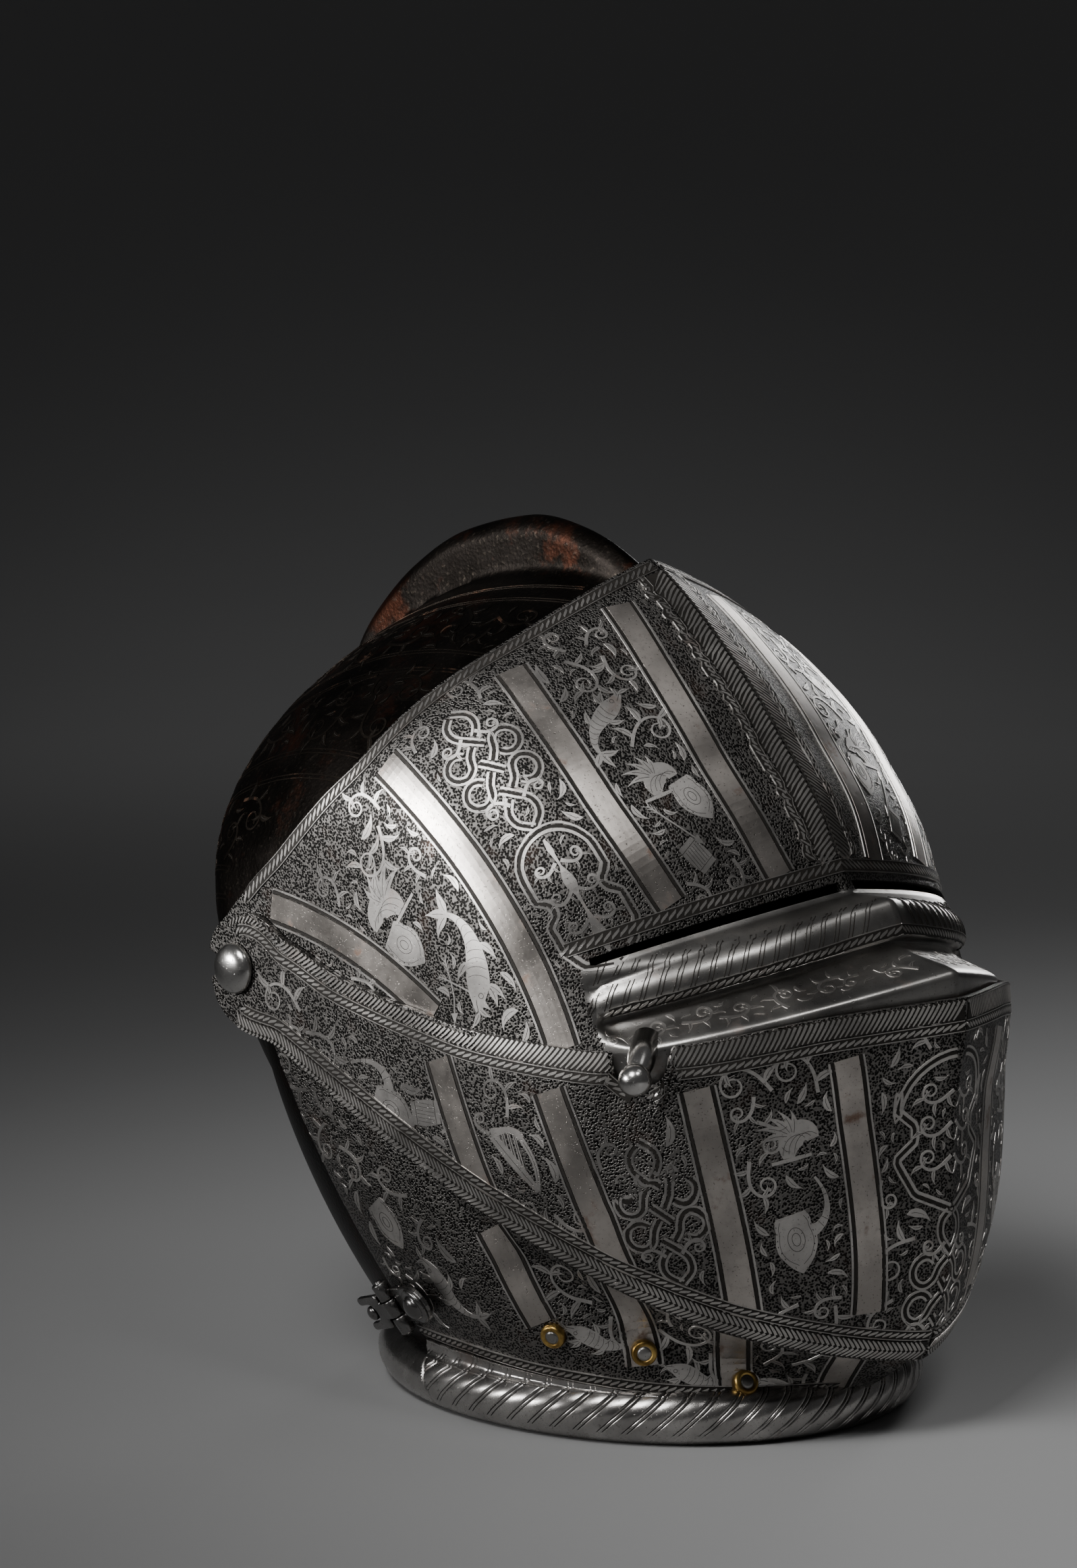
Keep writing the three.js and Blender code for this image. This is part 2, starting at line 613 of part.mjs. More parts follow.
// Lining rivets: brass caps along the foot of the lower bevor
const RIVET_SPOTS = [
  { turn: 129.5, share: 0.8 },
  { turn: 154, share: 0.825 },
  { turn: 165, share: 0.92 },
  { turn: 175, share: 0.96 },
];
const RIVET_HALF = 4.25;
const RIVET_DOME = 2.2;
function buildRivet(spot, side) {
  const profile = [
    { r: 0, h: -2 },
    { r: RIVET_HALF, h: -2 },
    { r: RIVET_HALF, h: 0.5 },
    { r: RIVET_HALF * 0.8, h: RIVET_DOME * 0.72 },
    { r: RIVET_HALF * 0.46, h: RIVET_DOME * 0.8 },
    { r: RIVET_HALF * 0.4, h: RIVET_DOME },
    { r: 0, h: RIVET_DOME * 1.15 },
  ];
  const { spot: foot, out } = lowerFrame(spot.turn, spot.share, side);
  return largest(aim(turned(profile, 10), foot, out).subtract(buildLower(-TOUCH, TRIM_DEPTH)));
}

// Latch on the right: a leaf with two knuckles on the lower bevor, a forked hasp, and a stud on the skull
const LATCH_SHARE = 0.825;
const KNUCKLE = 2.7;
const KNUCKLE_LENGTH = 6.2;
const KNUCKLE_SIDES = 14;
const KNUCKLE_GAP = 0.3;
const PIN = 1.2;
const PIN_BORE = 1.5;
const LEAF_LENGTH = 27;
const LEAF_HALF = 6.5;
const LEAF_THICK = 1.8;
const HASP_LENGTH = 18;
const HASP_HALF = 6.4;
const HASP_UNDER = 0.7;
const HASP_THICK = 1.8;
const HASP_TILT = 6;
const SLOT_HALF = 3.4;
const STUD = 2.6;
const STUD_AT = 12.5;
const ROSETTE_AT = 20;
const ROSETTE = 6.8;
const PETALS = 8;
const seam = lowerFrame(LOWER_TURN + 1.2, LATCH_SHARE, -1);
const LATCH_UP = 3.6;
const latchDown = seam.down.clone();
const latchOut = seam.out.clone().addScaledVector(latchDown, -seam.out.dot(latchDown)).normalize();
const latchAhead = new THREE.Vector3().crossVectors(latchDown, latchOut);
if (latchAhead.y > 0) latchAhead.negate();
const latchSpot = seam.spot.clone().addScaledVector(latchOut, LATCH_UP);

// From latch axes (ahead along the plates, out of the surface, down along the hinge) to the object's frame
function atLatch(made) {
  const turn = new THREE.Matrix4().makeBasis(latchAhead, latchOut, latchDown).setPosition(latchSpot);
  return turn.determinant() > 0
    ? made.transform(turn.elements)
    : made.mirror([0, 0, 1]).transform(
        new THREE.Matrix4()
          .makeBasis(latchAhead, latchOut, latchDown.clone().negate())
          .setPosition(latchSpot).elements,
      );
}

const v3 = (x, y, z) => new THREE.Vector3(x, y, z);

// Round bar along the hinge line
function knuckle(from, to, radius = KNUCKLE) {
  const bar = new THREE.CylinderGeometry(radius, radius, to - from, KNUCKLE_SIDES).rotateX(Math.PI / 2);
  return solidOf(bar.translate(0, 0, (from + to) / 2));
}

function ball(radius, sides, flatten) {
  return solidOf(new THREE.SphereGeometry(radius, sides, sides / 2).scale(1, flatten, 1));
}

function buildLeaf() {
  const third = KNUCKLE_LENGTH / 2;
  const reach = third + KNUCKLE_GAP + KNUCKLE_LENGTH;
  const bar = block(v3(0, -KNUCKLE, -LEAF_HALF), v3(LEAF_LENGTH, LEAF_THICK - KNUCKLE, LEAF_HALF));
  const gap = block(v3(-9, -9, -third - KNUCKLE_GAP), v3(KNUCKLE + 1, 9, third + KNUCKLE_GAP));
  const ears = knuckle(-reach, -third - KNUCKLE_GAP).add(knuckle(third + KNUCKLE_GAP, reach));
  const made = bar.subtract(gap).add(ears).subtract(knuckle(-20, 20, PIN_BORE));
  return largest(atLatch(made).subtract(buildLower(-TOUCH, TRIM_DEPTH)));
}

function buildPin() {
  return atLatch(knuckle(-KNUCKLE_LENGTH * 1.5 - 1, KNUCKLE_LENGTH * 1.5 + 1, PIN));
}

function buildRosette() {
  const ring = ROSETTE * 0.66;
  let made = ball(ROSETTE * 0.62, 12, 0.9);
  for (let i = 0; i < PETALS; i += 1) {
    const a = (2 * Math.PI * i) / PETALS;
    made = made.add(ball(ROSETTE * 0.34, 8, 0.8).translate([ring * Math.cos(a), 0, ring * Math.sin(a)]));
  }
  made = made.subtract(block(v3(-20, -20, -20), v3(20, 0, 20)));
  const lift = LEAF_THICK - KNUCKLE + TOUCH;
  return atLatch(made.translate([ROSETTE_AT, lift, 0]));
}

function buildHasp() {
  const third = KNUCKLE_LENGTH / 2;
  const top = HASP_UNDER + HASP_THICK;
  const arm = block(v3(-HASP_LENGTH, HASP_UNDER, -HASP_HALF), v3(-KNUCKLE - 0.5, top, HASP_HALF));
  const neck = block(v3(-KNUCKLE - 1, HASP_UNDER, -third), v3(0, top, third));
  const slot = block(v3(-HASP_LENGTH - 1, -9, -SLOT_HALF), v3(-STUD_AT + SLOT_HALF + 0.4, 9, SLOT_HALF));
  const made = arm.add(neck).subtract(slot).rotate([0, 0, -HASP_TILT]);
  return atLatch(made.add(knuckle(-third, third)).subtract(knuckle(-20, 20, PIN_BORE)));
}

function buildStud() {
  const profile = [
    { r: 0, h: -8 },
    { r: STUD, h: -8 },
    { r: STUD, h: 3.2 },
    { r: STUD * 0.7, h: 4.5 },
    { r: 0, h: 5 },
  ];
  const made = turned(profile, 16).transform(
    new THREE.Matrix4().makeRotationX(-Math.PI / 2).elements,
  );
  return largest(atLatch(made.translate([-STUD_AT, 0, 0])).subtract(buildSkull(-TOUCH, TRIM_DEPTH)));
}

const STEEL = { color: 0x8c8a86, roughness: 0.36, metalness: 0.9 };
const DARK = { color: 0x3a332e, roughness: 0.5, metalness: 0.8 };
const BRASS = { color: 0xa98648, roughness: 0.35, metalness: 0.9 };

const armet = new THREE.Group();
armet.name = 'armet';

// One group for the fixed skull and one for each plate that swings
const groups = {};
for (const name of ['skull', 'lower_bevor', 'upper_bevor', 'visor', 'hasp']) {
  groups[name] = new THREE.Group();
  armet.add(groups[name]);
}

function addNode(group, name, made, finish) {
  const data = made.getMesh();
  const geometry = new THREE.BufferGeometry();
  const places = new Float32Array(data.numVert * 3);
  for (let i = 0; i < data.numVert; i += 1) {
    for (let k = 0; k < 3; k += 1) places[3 * i + k] = data.vertProperties[data.numProp * i + k];
  }
  geometry.setAttribute('position', new THREE.BufferAttribute(places, 3));
  geometry.setIndex(Array.from(data.triVerts));
  geometry.computeVertexNormals();
  const mesh = new THREE.Mesh(geometry, new THREE.MeshStandardMaterial(finish));
  mesh.name = name;
  groups[group].add(mesh);
}

addNode('skull', 'skull', buildSkull(), DARK);
addNode('lower_bevor', 'lower_bevor', buildLower(), STEEL);
addNode('upper_bevor', 'upper_bevor', buildUpper(), STEEL);
addNode('visor', 'visor', buildVisor(), STEEL);
addNode('skull', 'pivot_right', buildPivot(-1), STEEL);
addNode('skull', 'pivot_left', buildPivot(1), STEEL);
addNode('visor', 'lifting_peg', buildPeg(), STEEL);
RIVET_SPOTS.forEach((spot, i) => {
  addNode('lower_bevor', `rivet_right_${i + 1}`, buildRivet(spot, -1), BRASS);
  addNode('lower_bevor', `rivet_left_${i + 1}`, buildRivet(spot, 1), BRASS);
});
addNode('lower_bevor', 'latch_leaf', buildLeaf(), STEEL);
addNode('lower_bevor', 'latch_pin', buildPin(), STEEL);
addNode('lower_bevor', 'latch_rosette', buildRosette(), STEEL);
addNode('hasp', 'latch_hasp', buildHasp(), STEEL);
addNode('skull', 'latch_stud', buildStud(), STEEL);

export default armet;
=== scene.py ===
"""An etched armet: skull with a comb, visor with a sight, two bevors, a roped neck rim and its fittings."""
import math

import bmesh
import bpy
import numpy as np
from mathutils import Matrix, Vector
from mathutils.bvhtree import BVHTree


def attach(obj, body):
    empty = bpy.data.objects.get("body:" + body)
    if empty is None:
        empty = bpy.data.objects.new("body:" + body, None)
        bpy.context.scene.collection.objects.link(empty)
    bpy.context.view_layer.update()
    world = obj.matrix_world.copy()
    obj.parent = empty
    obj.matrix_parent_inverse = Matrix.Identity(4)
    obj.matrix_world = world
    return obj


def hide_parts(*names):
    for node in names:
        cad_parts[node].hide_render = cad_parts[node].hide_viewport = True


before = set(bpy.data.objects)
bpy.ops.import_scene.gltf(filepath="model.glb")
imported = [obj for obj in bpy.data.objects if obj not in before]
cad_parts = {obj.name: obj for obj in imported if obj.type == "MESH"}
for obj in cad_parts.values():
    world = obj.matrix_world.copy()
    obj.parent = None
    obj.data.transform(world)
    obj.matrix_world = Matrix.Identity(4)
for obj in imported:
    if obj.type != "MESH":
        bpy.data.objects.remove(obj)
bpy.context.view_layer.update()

# Sizes are in millimetres, in the frame's axes: +Z up, the face along -Y, the wearer's right at -X
MM = 0.001
# Pivot axis, plates and neck, in millimetres
PIVOT_Y = 75
PIVOT_Z = 144
PIVOT_HOLE = 3.5
SHEET = 2
SKULL_SIDE = 102.5
LOWER_SIDE = 105.2
VISOR_SIDE = 107.9
UPPER_SIDE = 110.6
NECK_Y = -9
NECK_HALF_X = 76
NECK_HALF_Y = 88
NECK_EDGE_Z = 15
RIM_RADIUS = 9.5
RIM_HEIGHT = 9
THROAT_OUT = 4
THROAT_DROP = 3
SEAM = -66
COMB_HALF = 5
COMB_ROUND = 5
COMB_FILLET = 7
COMB_FULL = 10
COMB_START = 3
SKULL_CROWD = 1.6
EAR = 15
VISOR_TOP = 58
VISOR_SIGHT = 12
VISOR_LOW = -4
VISOR_REAR_POWER = 1.5
VISOR_EAR_TURN = 130
LOWER_TOP = -13
LOWER_EAR_FROM = -36
FEATURE_DROP = 25
FEATURE_FROM = 40
FEATURE_SHARE = 0.26
UPPER_EDGE_SLOPE = 25.5
UPPER_EDGE_DROP = 13.2
UPPER_EDGE_FRONT = 1.25
UPPER_FRONT_FROM = 140
UPPER_FRONT_TO = 200
UPPER_TOP = 0.9
UPPER_LOW = -30
UPPER_EAR_TURN = 45
NOTCH_AT = 158
NOTCH_SHARE = 0.732
NOTCH_HALF_SHARE = 0.034
NOTCH_DEPTH = 11.5
BROW = 36
BROW_FREE = 84


def mix(a, b, share):
    return a + (b - a) * share


def ramp(value, start, end):
    """0 before the start and 1 past the end, even between."""
    return np.clip((value - start) / (end - start), 0, 1)


def ease(share):
    return share * share * (3 - 2 * share)


class Table:
    """Rows of sizes with named columns, read smoothly and without overshoot along the first column."""

    def __init__(self, names, *rows):
        self.names = names.split()
        self.rows = np.array(sorted(rows), float)

    def read(self, name, value):
        at = self.rows[:, 0]
        column = self.rows[:, self.names.index(name)]
        slope = np.diff(column) / np.diff(at)
        before, after = slope[:-1], slope[1:]
        same = before * after > 0
        total = np.where(same, before + after, 1)
        middle = np.where(same, 2 * before * after / total, 0)
        tangent = np.concatenate([slope[:1], middle, slope[-1:]])
        value = np.clip(value, at[0], at[-1])
        k = np.clip(np.searchsorted(at, value) - 1, 0, len(at) - 2)
        span = at[k + 1] - at[k]
        s = (value - at[k]) / span
        h = ease(s)
        bend = s * (1 - s) ** 2 * tangent[k] - s * s * (1 - s) * tangent[k + 1]
        return column[k] + (column[k + 1] - column[k]) * h + span * bend


SKULL_RIBS = Table(
    "at reach comb power round",
    (36, 154.5, 0, 5.2, 1),
    (46, 152, 0.5, 4.6, 1),
    (58, 147.5, 5.8, 3.8, 1),
    (69, 138, 14.8, 3.2, 0.9),
    (79, 129, 19.5, 2.8, 0.82),
    (91, 119.5, 19.5, 2.6, 0.78),
    (101, 113, 16.5, 2.5, 0.75),
    (110, 108.5, 12, 2.5, 0.75),
    (117, 105.5, 8, 2.5, 0.74),
    (124, 101.5, 3, 2.5, 0.73),
    (130, 97.5, 0, 2.5, 0.72),
    (150, 80, 0, 2.4, 0.72),
    (165, 70.5, 0, 2.3, 0.75),
    (180, 65.5, 0, 2.2, 0.78),
    (200, 64.5, 0, 2.1, 0.78),
    (214, 67.5, 0, 2.0, 0.78),
    (228, 73.5, 0, 1.9, 0.78),
    (241, 82.5, 0, 1.8, 0.78),
    (258, 102, 0, 1.75, 0.78),
    (266, 118.5, 0, 1.7, 0.8),
    (268, 129, 0, 1.7, 0.82),
    (294, 141, 0, 2.1, 0.95),
)
VISOR_RIBS = Table(
    "at reach power",
    (58, 158, 4.8),
    (46, 157.8, 6.3),
    (30, 161.6, 7.6),
    (20, 168.4, 7.8),
    (12.2, 172.8, 7.8),
    (10.4, 174.8, 7.8),
    (9.4, 190.5, 5.6),
    (7.1, 192.7, 5.5),
    (5.9, 193.4, 5.4),
    (5.2, 190, 5.5),
    (4.2, 199, 5.2),
    (2.8, 215.6, 5.2),
    (1, 215.8, 5.2),
    (-4, 213.5, 5.2),
)
UPPER_RIBS = Table(
    "at reach power round",
    (1, 219.6, 5.2, 1),
    (-3.4, 218.8, 5.6, 1),
    (-7.8, 217.6, 5.8, 1),
    (-12, 219.5, 5.7, 0.96),
    (-22, 229.6, 5.0, 0.86),
    (-26, 232.4, 4.5, 0.8),
    (-29, 233.6, 4.1, 0.76),
)
LOWER_RIBS = Table(
    "at reach power round",
    (-12, 216, 4.2, 0.97),
    (-22, 226, 4.1, 0.88),
    (-28.7, 230, 4.0, 0.83),
    (-30.5, 229.6, 3.9, 0.83),
    (-33.1, 226.5, 3.7, 0.85),
    (-35.3, 223, 3.5, 0.88),
    (-36.9, 220, 3.4, 0.9),
    (-66, 141, 2.1, 0.95),
)
UPPER_TOP_EDGE = Table(
    "at angle",
    (14, 160), (17, 108), (26, 27), (50, 3.1), (81, -2.3), (110, -4),
    (145, -3.9), (173, -2.3), (187, -1.1), (200, 0), (220, 0.9),
)
VISOR_REAR_EDGE = Table(
    "at angle",
    (15, 150), (19, 108), (27, 84), (43, 67), (68, 59), (92, 55.5), (130, 55.5), (158, 58),
)
BROW_EDGE = Table(
    "at angle",
    (14, -64), (20, -46), (30, -10), (46, 10), (64, 22), (110, 32), (154, 36),
)
LOWER_EAR = Table(
    "at angle",
    (13, 170), (16, 100), (24, 25), (38, -4), (60, -13), (220, -13),
)


def round_pivot(x, r, angle):
    """Point at a distance from the pivot axis, at an angle round it: 0 is forward and 90 is up."""
    turn = np.radians(angle)
    return np.stack([x, PIVOT_Y - r * np.cos(turn), PIVOT_Z + r * np.sin(turn)], -1)


def neck_end(turn):
    """Angle, reach and half width where a rib meets the neck oval, at a turn counted from the back."""
    front = max(-np.cos(np.radians(turn)), 0)
    ahead = PIVOT_Y - (NECK_Y + (NECK_HALF_Y + THROAT_OUT * front) * np.cos(np.radians(turn)))
    below = PIVOT_Z - NECK_EDGE_Z + THROAT_DROP * front
    half = (NECK_HALF_X + THROAT_OUT * front) * np.sin(np.radians(turn))
    return -np.degrees(np.arctan2(below, ahead)), np.hypot(ahead, below), half


def seam_turn(angle):
    ahead = (PIVOT_Z - NECK_EDGE_Z) / np.tan(np.radians(-angle))
    return np.degrees(np.arccos((PIVOT_Y - ahead - NECK_Y) / NECK_HALF_Y))


FINE = 900
SHARES = np.linspace(0, 1, FINE)


def crowded(round_off, along=SHARES):
    """Even steps drawn together towards the middle of a rounded rib."""
    return 1 - (1 - along) ** (1 / round_off)


def rib_shares(reach, even):
    """Shares of the reach along a rib, from the edge of the pivot hole to the middle."""
    start = PIVOT_HOLE / reach
    return start + (1 - start) * even


def neck_rib(table, side, turn, lap=0, along=SHARES):
    """Rib that ends on the neck oval at a turn; the lap is added to angles in the table."""
    angle, reach, half = neck_end(turn)
    angle = angle + lap
    round_off = table.read("round", angle)
    share = rib_shares(reach, crowded(round_off, along))
    rise = np.clip(1 - share ** table.read("power", angle), 0, 1) ** round_off
    return round_pivot(half + (side - half) * rise, share * reach, angle)


def visor_rib(at):
    reach = VISOR_RIBS.read("reach", at)
    share = rib_shares(reach, SHARES)
    r = share * reach
    low = -FEATURE_DROP * np.clip(1 - share, 0, FEATURE_SHARE) * ramp(at, FEATURE_FROM, VISOR_SIGHT)
    rise = ramp(at, VISOR_SIGHT, VISOR_TOP) ** VISOR_REAR_POWER
    up = rise * (VISOR_REAR_EDGE.read("angle", r) - VISOR_TOP)
    ear = ramp(r, 2 * EAR, EAR)
    down = -(ear ** 2) * VISOR_EAR_TURN * ramp(at, VISOR_SIGHT, VISOR_LOW)
    x = VISOR_SIDE * (1 - share ** VISOR_RIBS.read("power", at))
    return round_pivot(x, r, at + low + up + down)


def upper_rib(v, notched):
    """Rib of the upper bevor at a share of the way down, with or without the notch for the peg."""
    middle = mix(UPPER_TOP, UPPER_LOW, v)
    reach = UPPER_RIBS.read("reach", middle)
    share = rib_shares(reach, SHARES)
    r = share * reach
    top = UPPER_TOP_EDGE.read("angle", share * UPPER_RIBS.read("reach", 1))
    if notched:
        off = np.abs(SHARES - NOTCH_SHARE) / NOTCH_HALF_SHARE
        top = top - np.degrees(NOTCH_DEPTH / NOTCH_AT) * np.sqrt(np.clip(1 - off ** 4, 0, 1))
    ear = ramp(r, 2 * EAR, EAR)
    drop = np.degrees(np.arcsin(np.clip(UPPER_EDGE_DROP / r, 0, 1)))
    front = UPPER_EDGE_FRONT * ramp(r, UPPER_FRONT_FROM, UPPER_FRONT_TO)
    low = -UPPER_EDGE_SLOPE - drop - front - ear ** 2 * UPPER_EAR_TURN
    side = np.clip(1 - share ** UPPER_RIBS.read("power", middle), 0, 1)
    x = UPPER_SIDE * side ** UPPER_RIBS.read("round", middle)
    return round_pivot(x, r, mix(top, low, v))


def lower_rib(at, turn):
    """Rib of the lower bevor: at an angle above the neck, or at a turn round the neck oval."""
    if turn is not None:
        return neck_rib(LOWER_RIBS, LOWER_SIDE, turn)
    reach = LOWER_RIBS.read("reach", at)
    round_off = LOWER_RIBS.read("round", at)
    share = rib_shares(reach, crowded(round_off))
    spread = ramp(at, LOWER_EAR_FROM, LOWER_TOP)
    angle = at + spread * (LOWER_EAR.read("angle", share * reach) - LOWER_TOP)
    x = LOWER_SIDE * np.clip(1 - share ** LOWER_RIBS.read("power", at), 0, 1) ** round_off
    return round_pivot(x, share * reach, angle)


def blend_max(a, b, width):
    h = np.clip(width - np.abs(a - b), 0, None) / width
    return np.maximum(a, b) + h * h * width / 4


def skull_rib(at, turn):
    """Rib of the skull: dome and comb at an angle, or plain at a turn round the neck oval."""
    if turn is not None:
        return neck_rib(SKULL_RIBS, SKULL_SIDE, turn, 360)
    power = SKULL_RIBS.read("power", at)
    round_off = SKULL_RIBS.read("round", at)
    dome = SKULL_RIBS.read("reach", at)
    comb = SKULL_RIBS.read("comb", at)
    crest = dome + comb
    r = PIVOT_HOLE + (crest - PIVOT_HOLE) * (1 - (1 - SHARES) ** SKULL_CROWD)
    side = SKULL_SIDE * np.clip(1 - np.clip(r / dome, 0, 1) ** power, 0, 1) ** round_off
    below = (crest - r) / COMB_ROUND
    fin = COMB_HALF * np.sqrt(np.clip(below, 0, 1))
    fillet = COMB_FILLET * np.clip(comb / COMB_FULL, 0.02, 1) * np.clip(below, 0.01, 1)
    joined = blend_max(side, fin * np.clip(comb / COMB_START, 0, 1), fillet)
    x = np.where(crest - r < 1e-9, 0, joined)
    angle = mix(at, at - BROW + BROW_EDGE.read("angle", r), ramp(at, BROW_FREE, BROW))
    return round_pivot(x, r, angle)


def walk(points):
    """Distance walked along a polyline."""
    step = np.linalg.norm(np.diff(points, axis=0), axis=1)
    return np.concatenate([[0], np.cumsum(step)])


def at_distance(line, distance):
    """Places at distances along a polyline."""
    run = walk(line)
    return np.stack([np.interp(distance, run, line[:, k]) for k in range(line.shape[1])], -1)


def even_ribs(ribs, columns):
    """Each rib, from ear to middle, as evenly spaced points counted from the middle."""
    lines = [rib[::-1] for rib in ribs]
    return np.array([at_distance(line, np.linspace(0, walk(line)[-1], columns + 1)) for line in lines])


class Wire:
    """A value inside a finish. Arithmetic on it adds Math nodes."""

    def __init__(self, finish, socket):
        self.finish = finish
        self.socket = socket

    def math(self, operation, first, second):
        return self.finish.node("ShaderNodeMath", {"operation": operation}, {0: first, 1: second})

    def __add__(self, other):
        return self.math("ADD", self, other)

    def __sub__(self, other):
        return self.math("SUBTRACT", self, other)

    def __rsub__(self, other):
        return self.math("SUBTRACT", other, self)

    def __mul__(self, other):
        return self.math("MULTIPLY", self, other)

    __radd__ = __add__
    __rmul__ = __mul__

    def fade(self, low, high):
        """0 below low and 1 above high, smooth between; the other way round where low is the larger."""
        sockets = {"Value": self, "From Min": low, "From Max": high}
        return self.finish.node("ShaderNodeMapRange", {"interpolation_type": "SMOOTHSTEP"}, sockets)


class Finish:
    """A procedural material, built node by node."""

    def __init__(self, name):
        self.material = bpy.data.materials.new(name)
        self.material.use_nodes = True
        self.tree = self.material.node_tree
        self.shader = self.tree.nodes["Principled BSDF"]
        self.spot = self.node("ShaderNodeTexCoord", {}, {}, "Object")

    def node(self, kind, settings, sockets, output=0):
        made = self.tree.nodes.new(kind)
        for name, value in settings.items():
            setattr(made, name, value)
        for name, value in sockets.items():
            self.feed(made.inputs[name], value)
        return Wire(self, made.outputs[output])

    def feed(self, socket, value):
        if isinstance(value, Wire):
            self.tree.links.new(value.socket, socket)
        else:
            socket.default_value = value

    def noise(self, scale, detail=3.0, roughness=0.55):
        sockets = {"Vector": self.spot, "Scale": scale, "Detail": detail, "Roughness": roughness}
        return self.node("ShaderNodeTexNoise", {}, sockets)

    def cells(self, scale):
        return self.node("ShaderNodeTexVoronoi", {}, {"Vector": self.spot, "Scale": scale}, "Distance")

    def tint(self, share, low, high):
        """Colour between two, either of them a colour or a wire."""
        low = low if isinstance(low, Wire) else (*low, 1)
        high = high if isinstance(high, Wire) else (*high, 1)
        return self.node("ShaderNodeMix", {"data_type": "RGBA"}, {0: share, 6: low, 7: high}, 2)

    def bump(self, height, distance, strength):
        sockets = {"Height": height, "Distance": distance, "Strength": strength}
        return self.node("ShaderNodeBump", {}, sockets)

    def done(self, **sockets):
        for name, value in sockets.items():
            socket = self.shader.inputs[name.replace("_", " ")]
            self.feed(socket, (*value, 1) if isinstance(value, tuple) else value)
        return self.material


GROUND_RUST = (0.06, 0.035, 0.026)
STEEL_RUST = (0.16, 0.085, 0.055)
STEEL_PIT = (0.03, 0.024, 0.02)
RUSSET_PATCH = (0.03, 0.0105, 0.006)
RUSSET_GRAIN = (0.04, 0.033, 0.026)


def etched_ground(name, dark, pale):
    """Steel ground stippled with black between the ornament."""
    f = Finish(name)
    dots = f.cells(1300).fade(0.4, 0.64)
    rub = f.noise(30, 4).fade(0.35, 0.75)
    colour = f.tint(dots * (0.6 + 0.4 * rub), dark, pale)
    colour = f.tint(f.noise(55, 5, 0.65).fade(0.56, 0.74) * 0.4, colour, GROUND_RUST)
    relief = f.bump(dots + f.noise(900, 2) * 0.4, 0.00014, 0.8)
    return f.done(Base_Color=colour, Metallic=0.95, Roughness=0.46 - 0.1 * rub, Normal=relief)


def raised_steel(name, base, rust, smooth):
    """Worn bright steel of the ornament, the plain bands and the fittings."""
    f = Finish(name)
    cloud = f.noise(45, 5)
    fine = f.noise(420, 4)
    pits = f.noise(1500, 2).fade(0.64, 0.72)
    dark = tuple(0.55 * c for c in base)
    colour = f.tint(cloud.fade(0.3, 0.72), dark, base)
    colour = f.tint(fine.fade(0.52, 0.75) * 0.35, colour, tuple(0.4 * c for c in base))
    stain = f.noise(70, 5, 0.65).fade(0.57, 0.7) * rust
    colour = f.tint(stain, colour, STEEL_RUST)
    colour = f.tint(pits * 0.7, colour, STEEL_PIT)
    rough = smooth + 0.16 * cloud + 0.1 * fine + 0.25 * stain
    relief = f.bump(fine * 0.5 - pits, 0.00005, 0.6)
    return f.done(Base_Color=colour, Metallic=1.0, Roughness=rough, Normal=relief)


def russet_steel(name):
    """Near-black skull with patches of old russet."""
    f = Finish(name)
    cloud = f.noise(26, 5, 0.6)
    grain = f.noise(620, 4)
    colour = f.tint(cloud.fade(0.35, 0.7), (0.003, 0.0025, 0.0021), (0.009, 0.0075, 0.0066))
    colour = f.tint(f.noise(33, 5, 0.7).fade(0.52, 0.68) * 0.6, colour, RUSSET_PATCH)
    colour = f.tint(grain.fade(0.56, 0.74) * 0.35, colour, RUSSET_GRAIN)
    relief = f.bump(grain + f.cells(800) * 0.5, 0.00014, 0.8)
    return f.done(Base_Color=colour, Metallic=1.0, Roughness=0.36 + 0.22 * cloud, Normal=relief)


def black_line(name):
    f = Finish(name)
    colour = f.tint(f.noise(500, 3), (0.008, 0.007, 0.006), (0.028, 0.024, 0.02))
    return f.done(Base_Color=colour, Metallic=0.6, Roughness=0.6)


def plate_inside(name):
    f = Finish(name)
    cloud = f.noise(40, 5)
    colour = f.tint(cloud.fade(0.3, 0.7), (0.02, 0.016, 0.014), (0.07, 0.048, 0.036))
    relief = f.bump(f.noise(300, 4), 0.0002, 0.7)
    return f.done(Base_Color=colour, Metallic=0.7, Roughness=0.55 + 0.2 * cloud, Normal=relief)


def worn_brass(name):
    f = Finish(name)
    cloud = f.noise(180, 4)
    colour = f.tint(cloud.fade(0.35, 0.7), (0.2, 0.12, 0.035), (0.62, 0.42, 0.13))
    return f.done(Base_Color=colour, Metallic=1.0, Roughness=0.26 + 0.2 * cloud)


def studio_grey(name, shade):
    f = Finish(name)
    colour = f.tint(f.noise(3, 2), (0.94 * shade,) * 3, (shade,) * 3)
    return f.done(Base_Color=colour, Roughness=0.8)


GROUND = etched_ground("etched_ground", (0.008, 0.0075, 0.007), (0.19, 0.18, 0.17))
RAISED = raised_steel("raised_steel", (0.55, 0.525, 0.5), 0.35, 0.24)
BAND = raised_steel("band_steel", (0.55, 0.505, 0.465), 0.8, 0.2)
PLAIN = raised_steel("plain_steel", (0.42, 0.405, 0.385), 0.35, 0.18)
POLISHED = raised_steel("polished_steel", (0.68, 0.665, 0.64), 0.1, 0.08)
LATCH_STEEL = raised_steel("latch_steel", (0.27, 0.262, 0.255), 0.15, 0.14)
RIM_STEEL = raised_steel("rim_steel", (0.5, 0.48, 0.46), 0.35, 0.13)
FAINT_STEEL = raised_steel("faint_steel", (0.026, 0.021, 0.017), 0.6, 0.28)
RUSSET = russet_steel("russet_steel")
BLACK = black_line("black_line")
INSIDE = plate_inside("plate_inside")
BRASS = worn_brass("worn_brass")
ORNAMENT = [RAISED, BLACK, BAND]
FAINT = [FAINT_STEEL, BLACK, FAINT_STEEL]


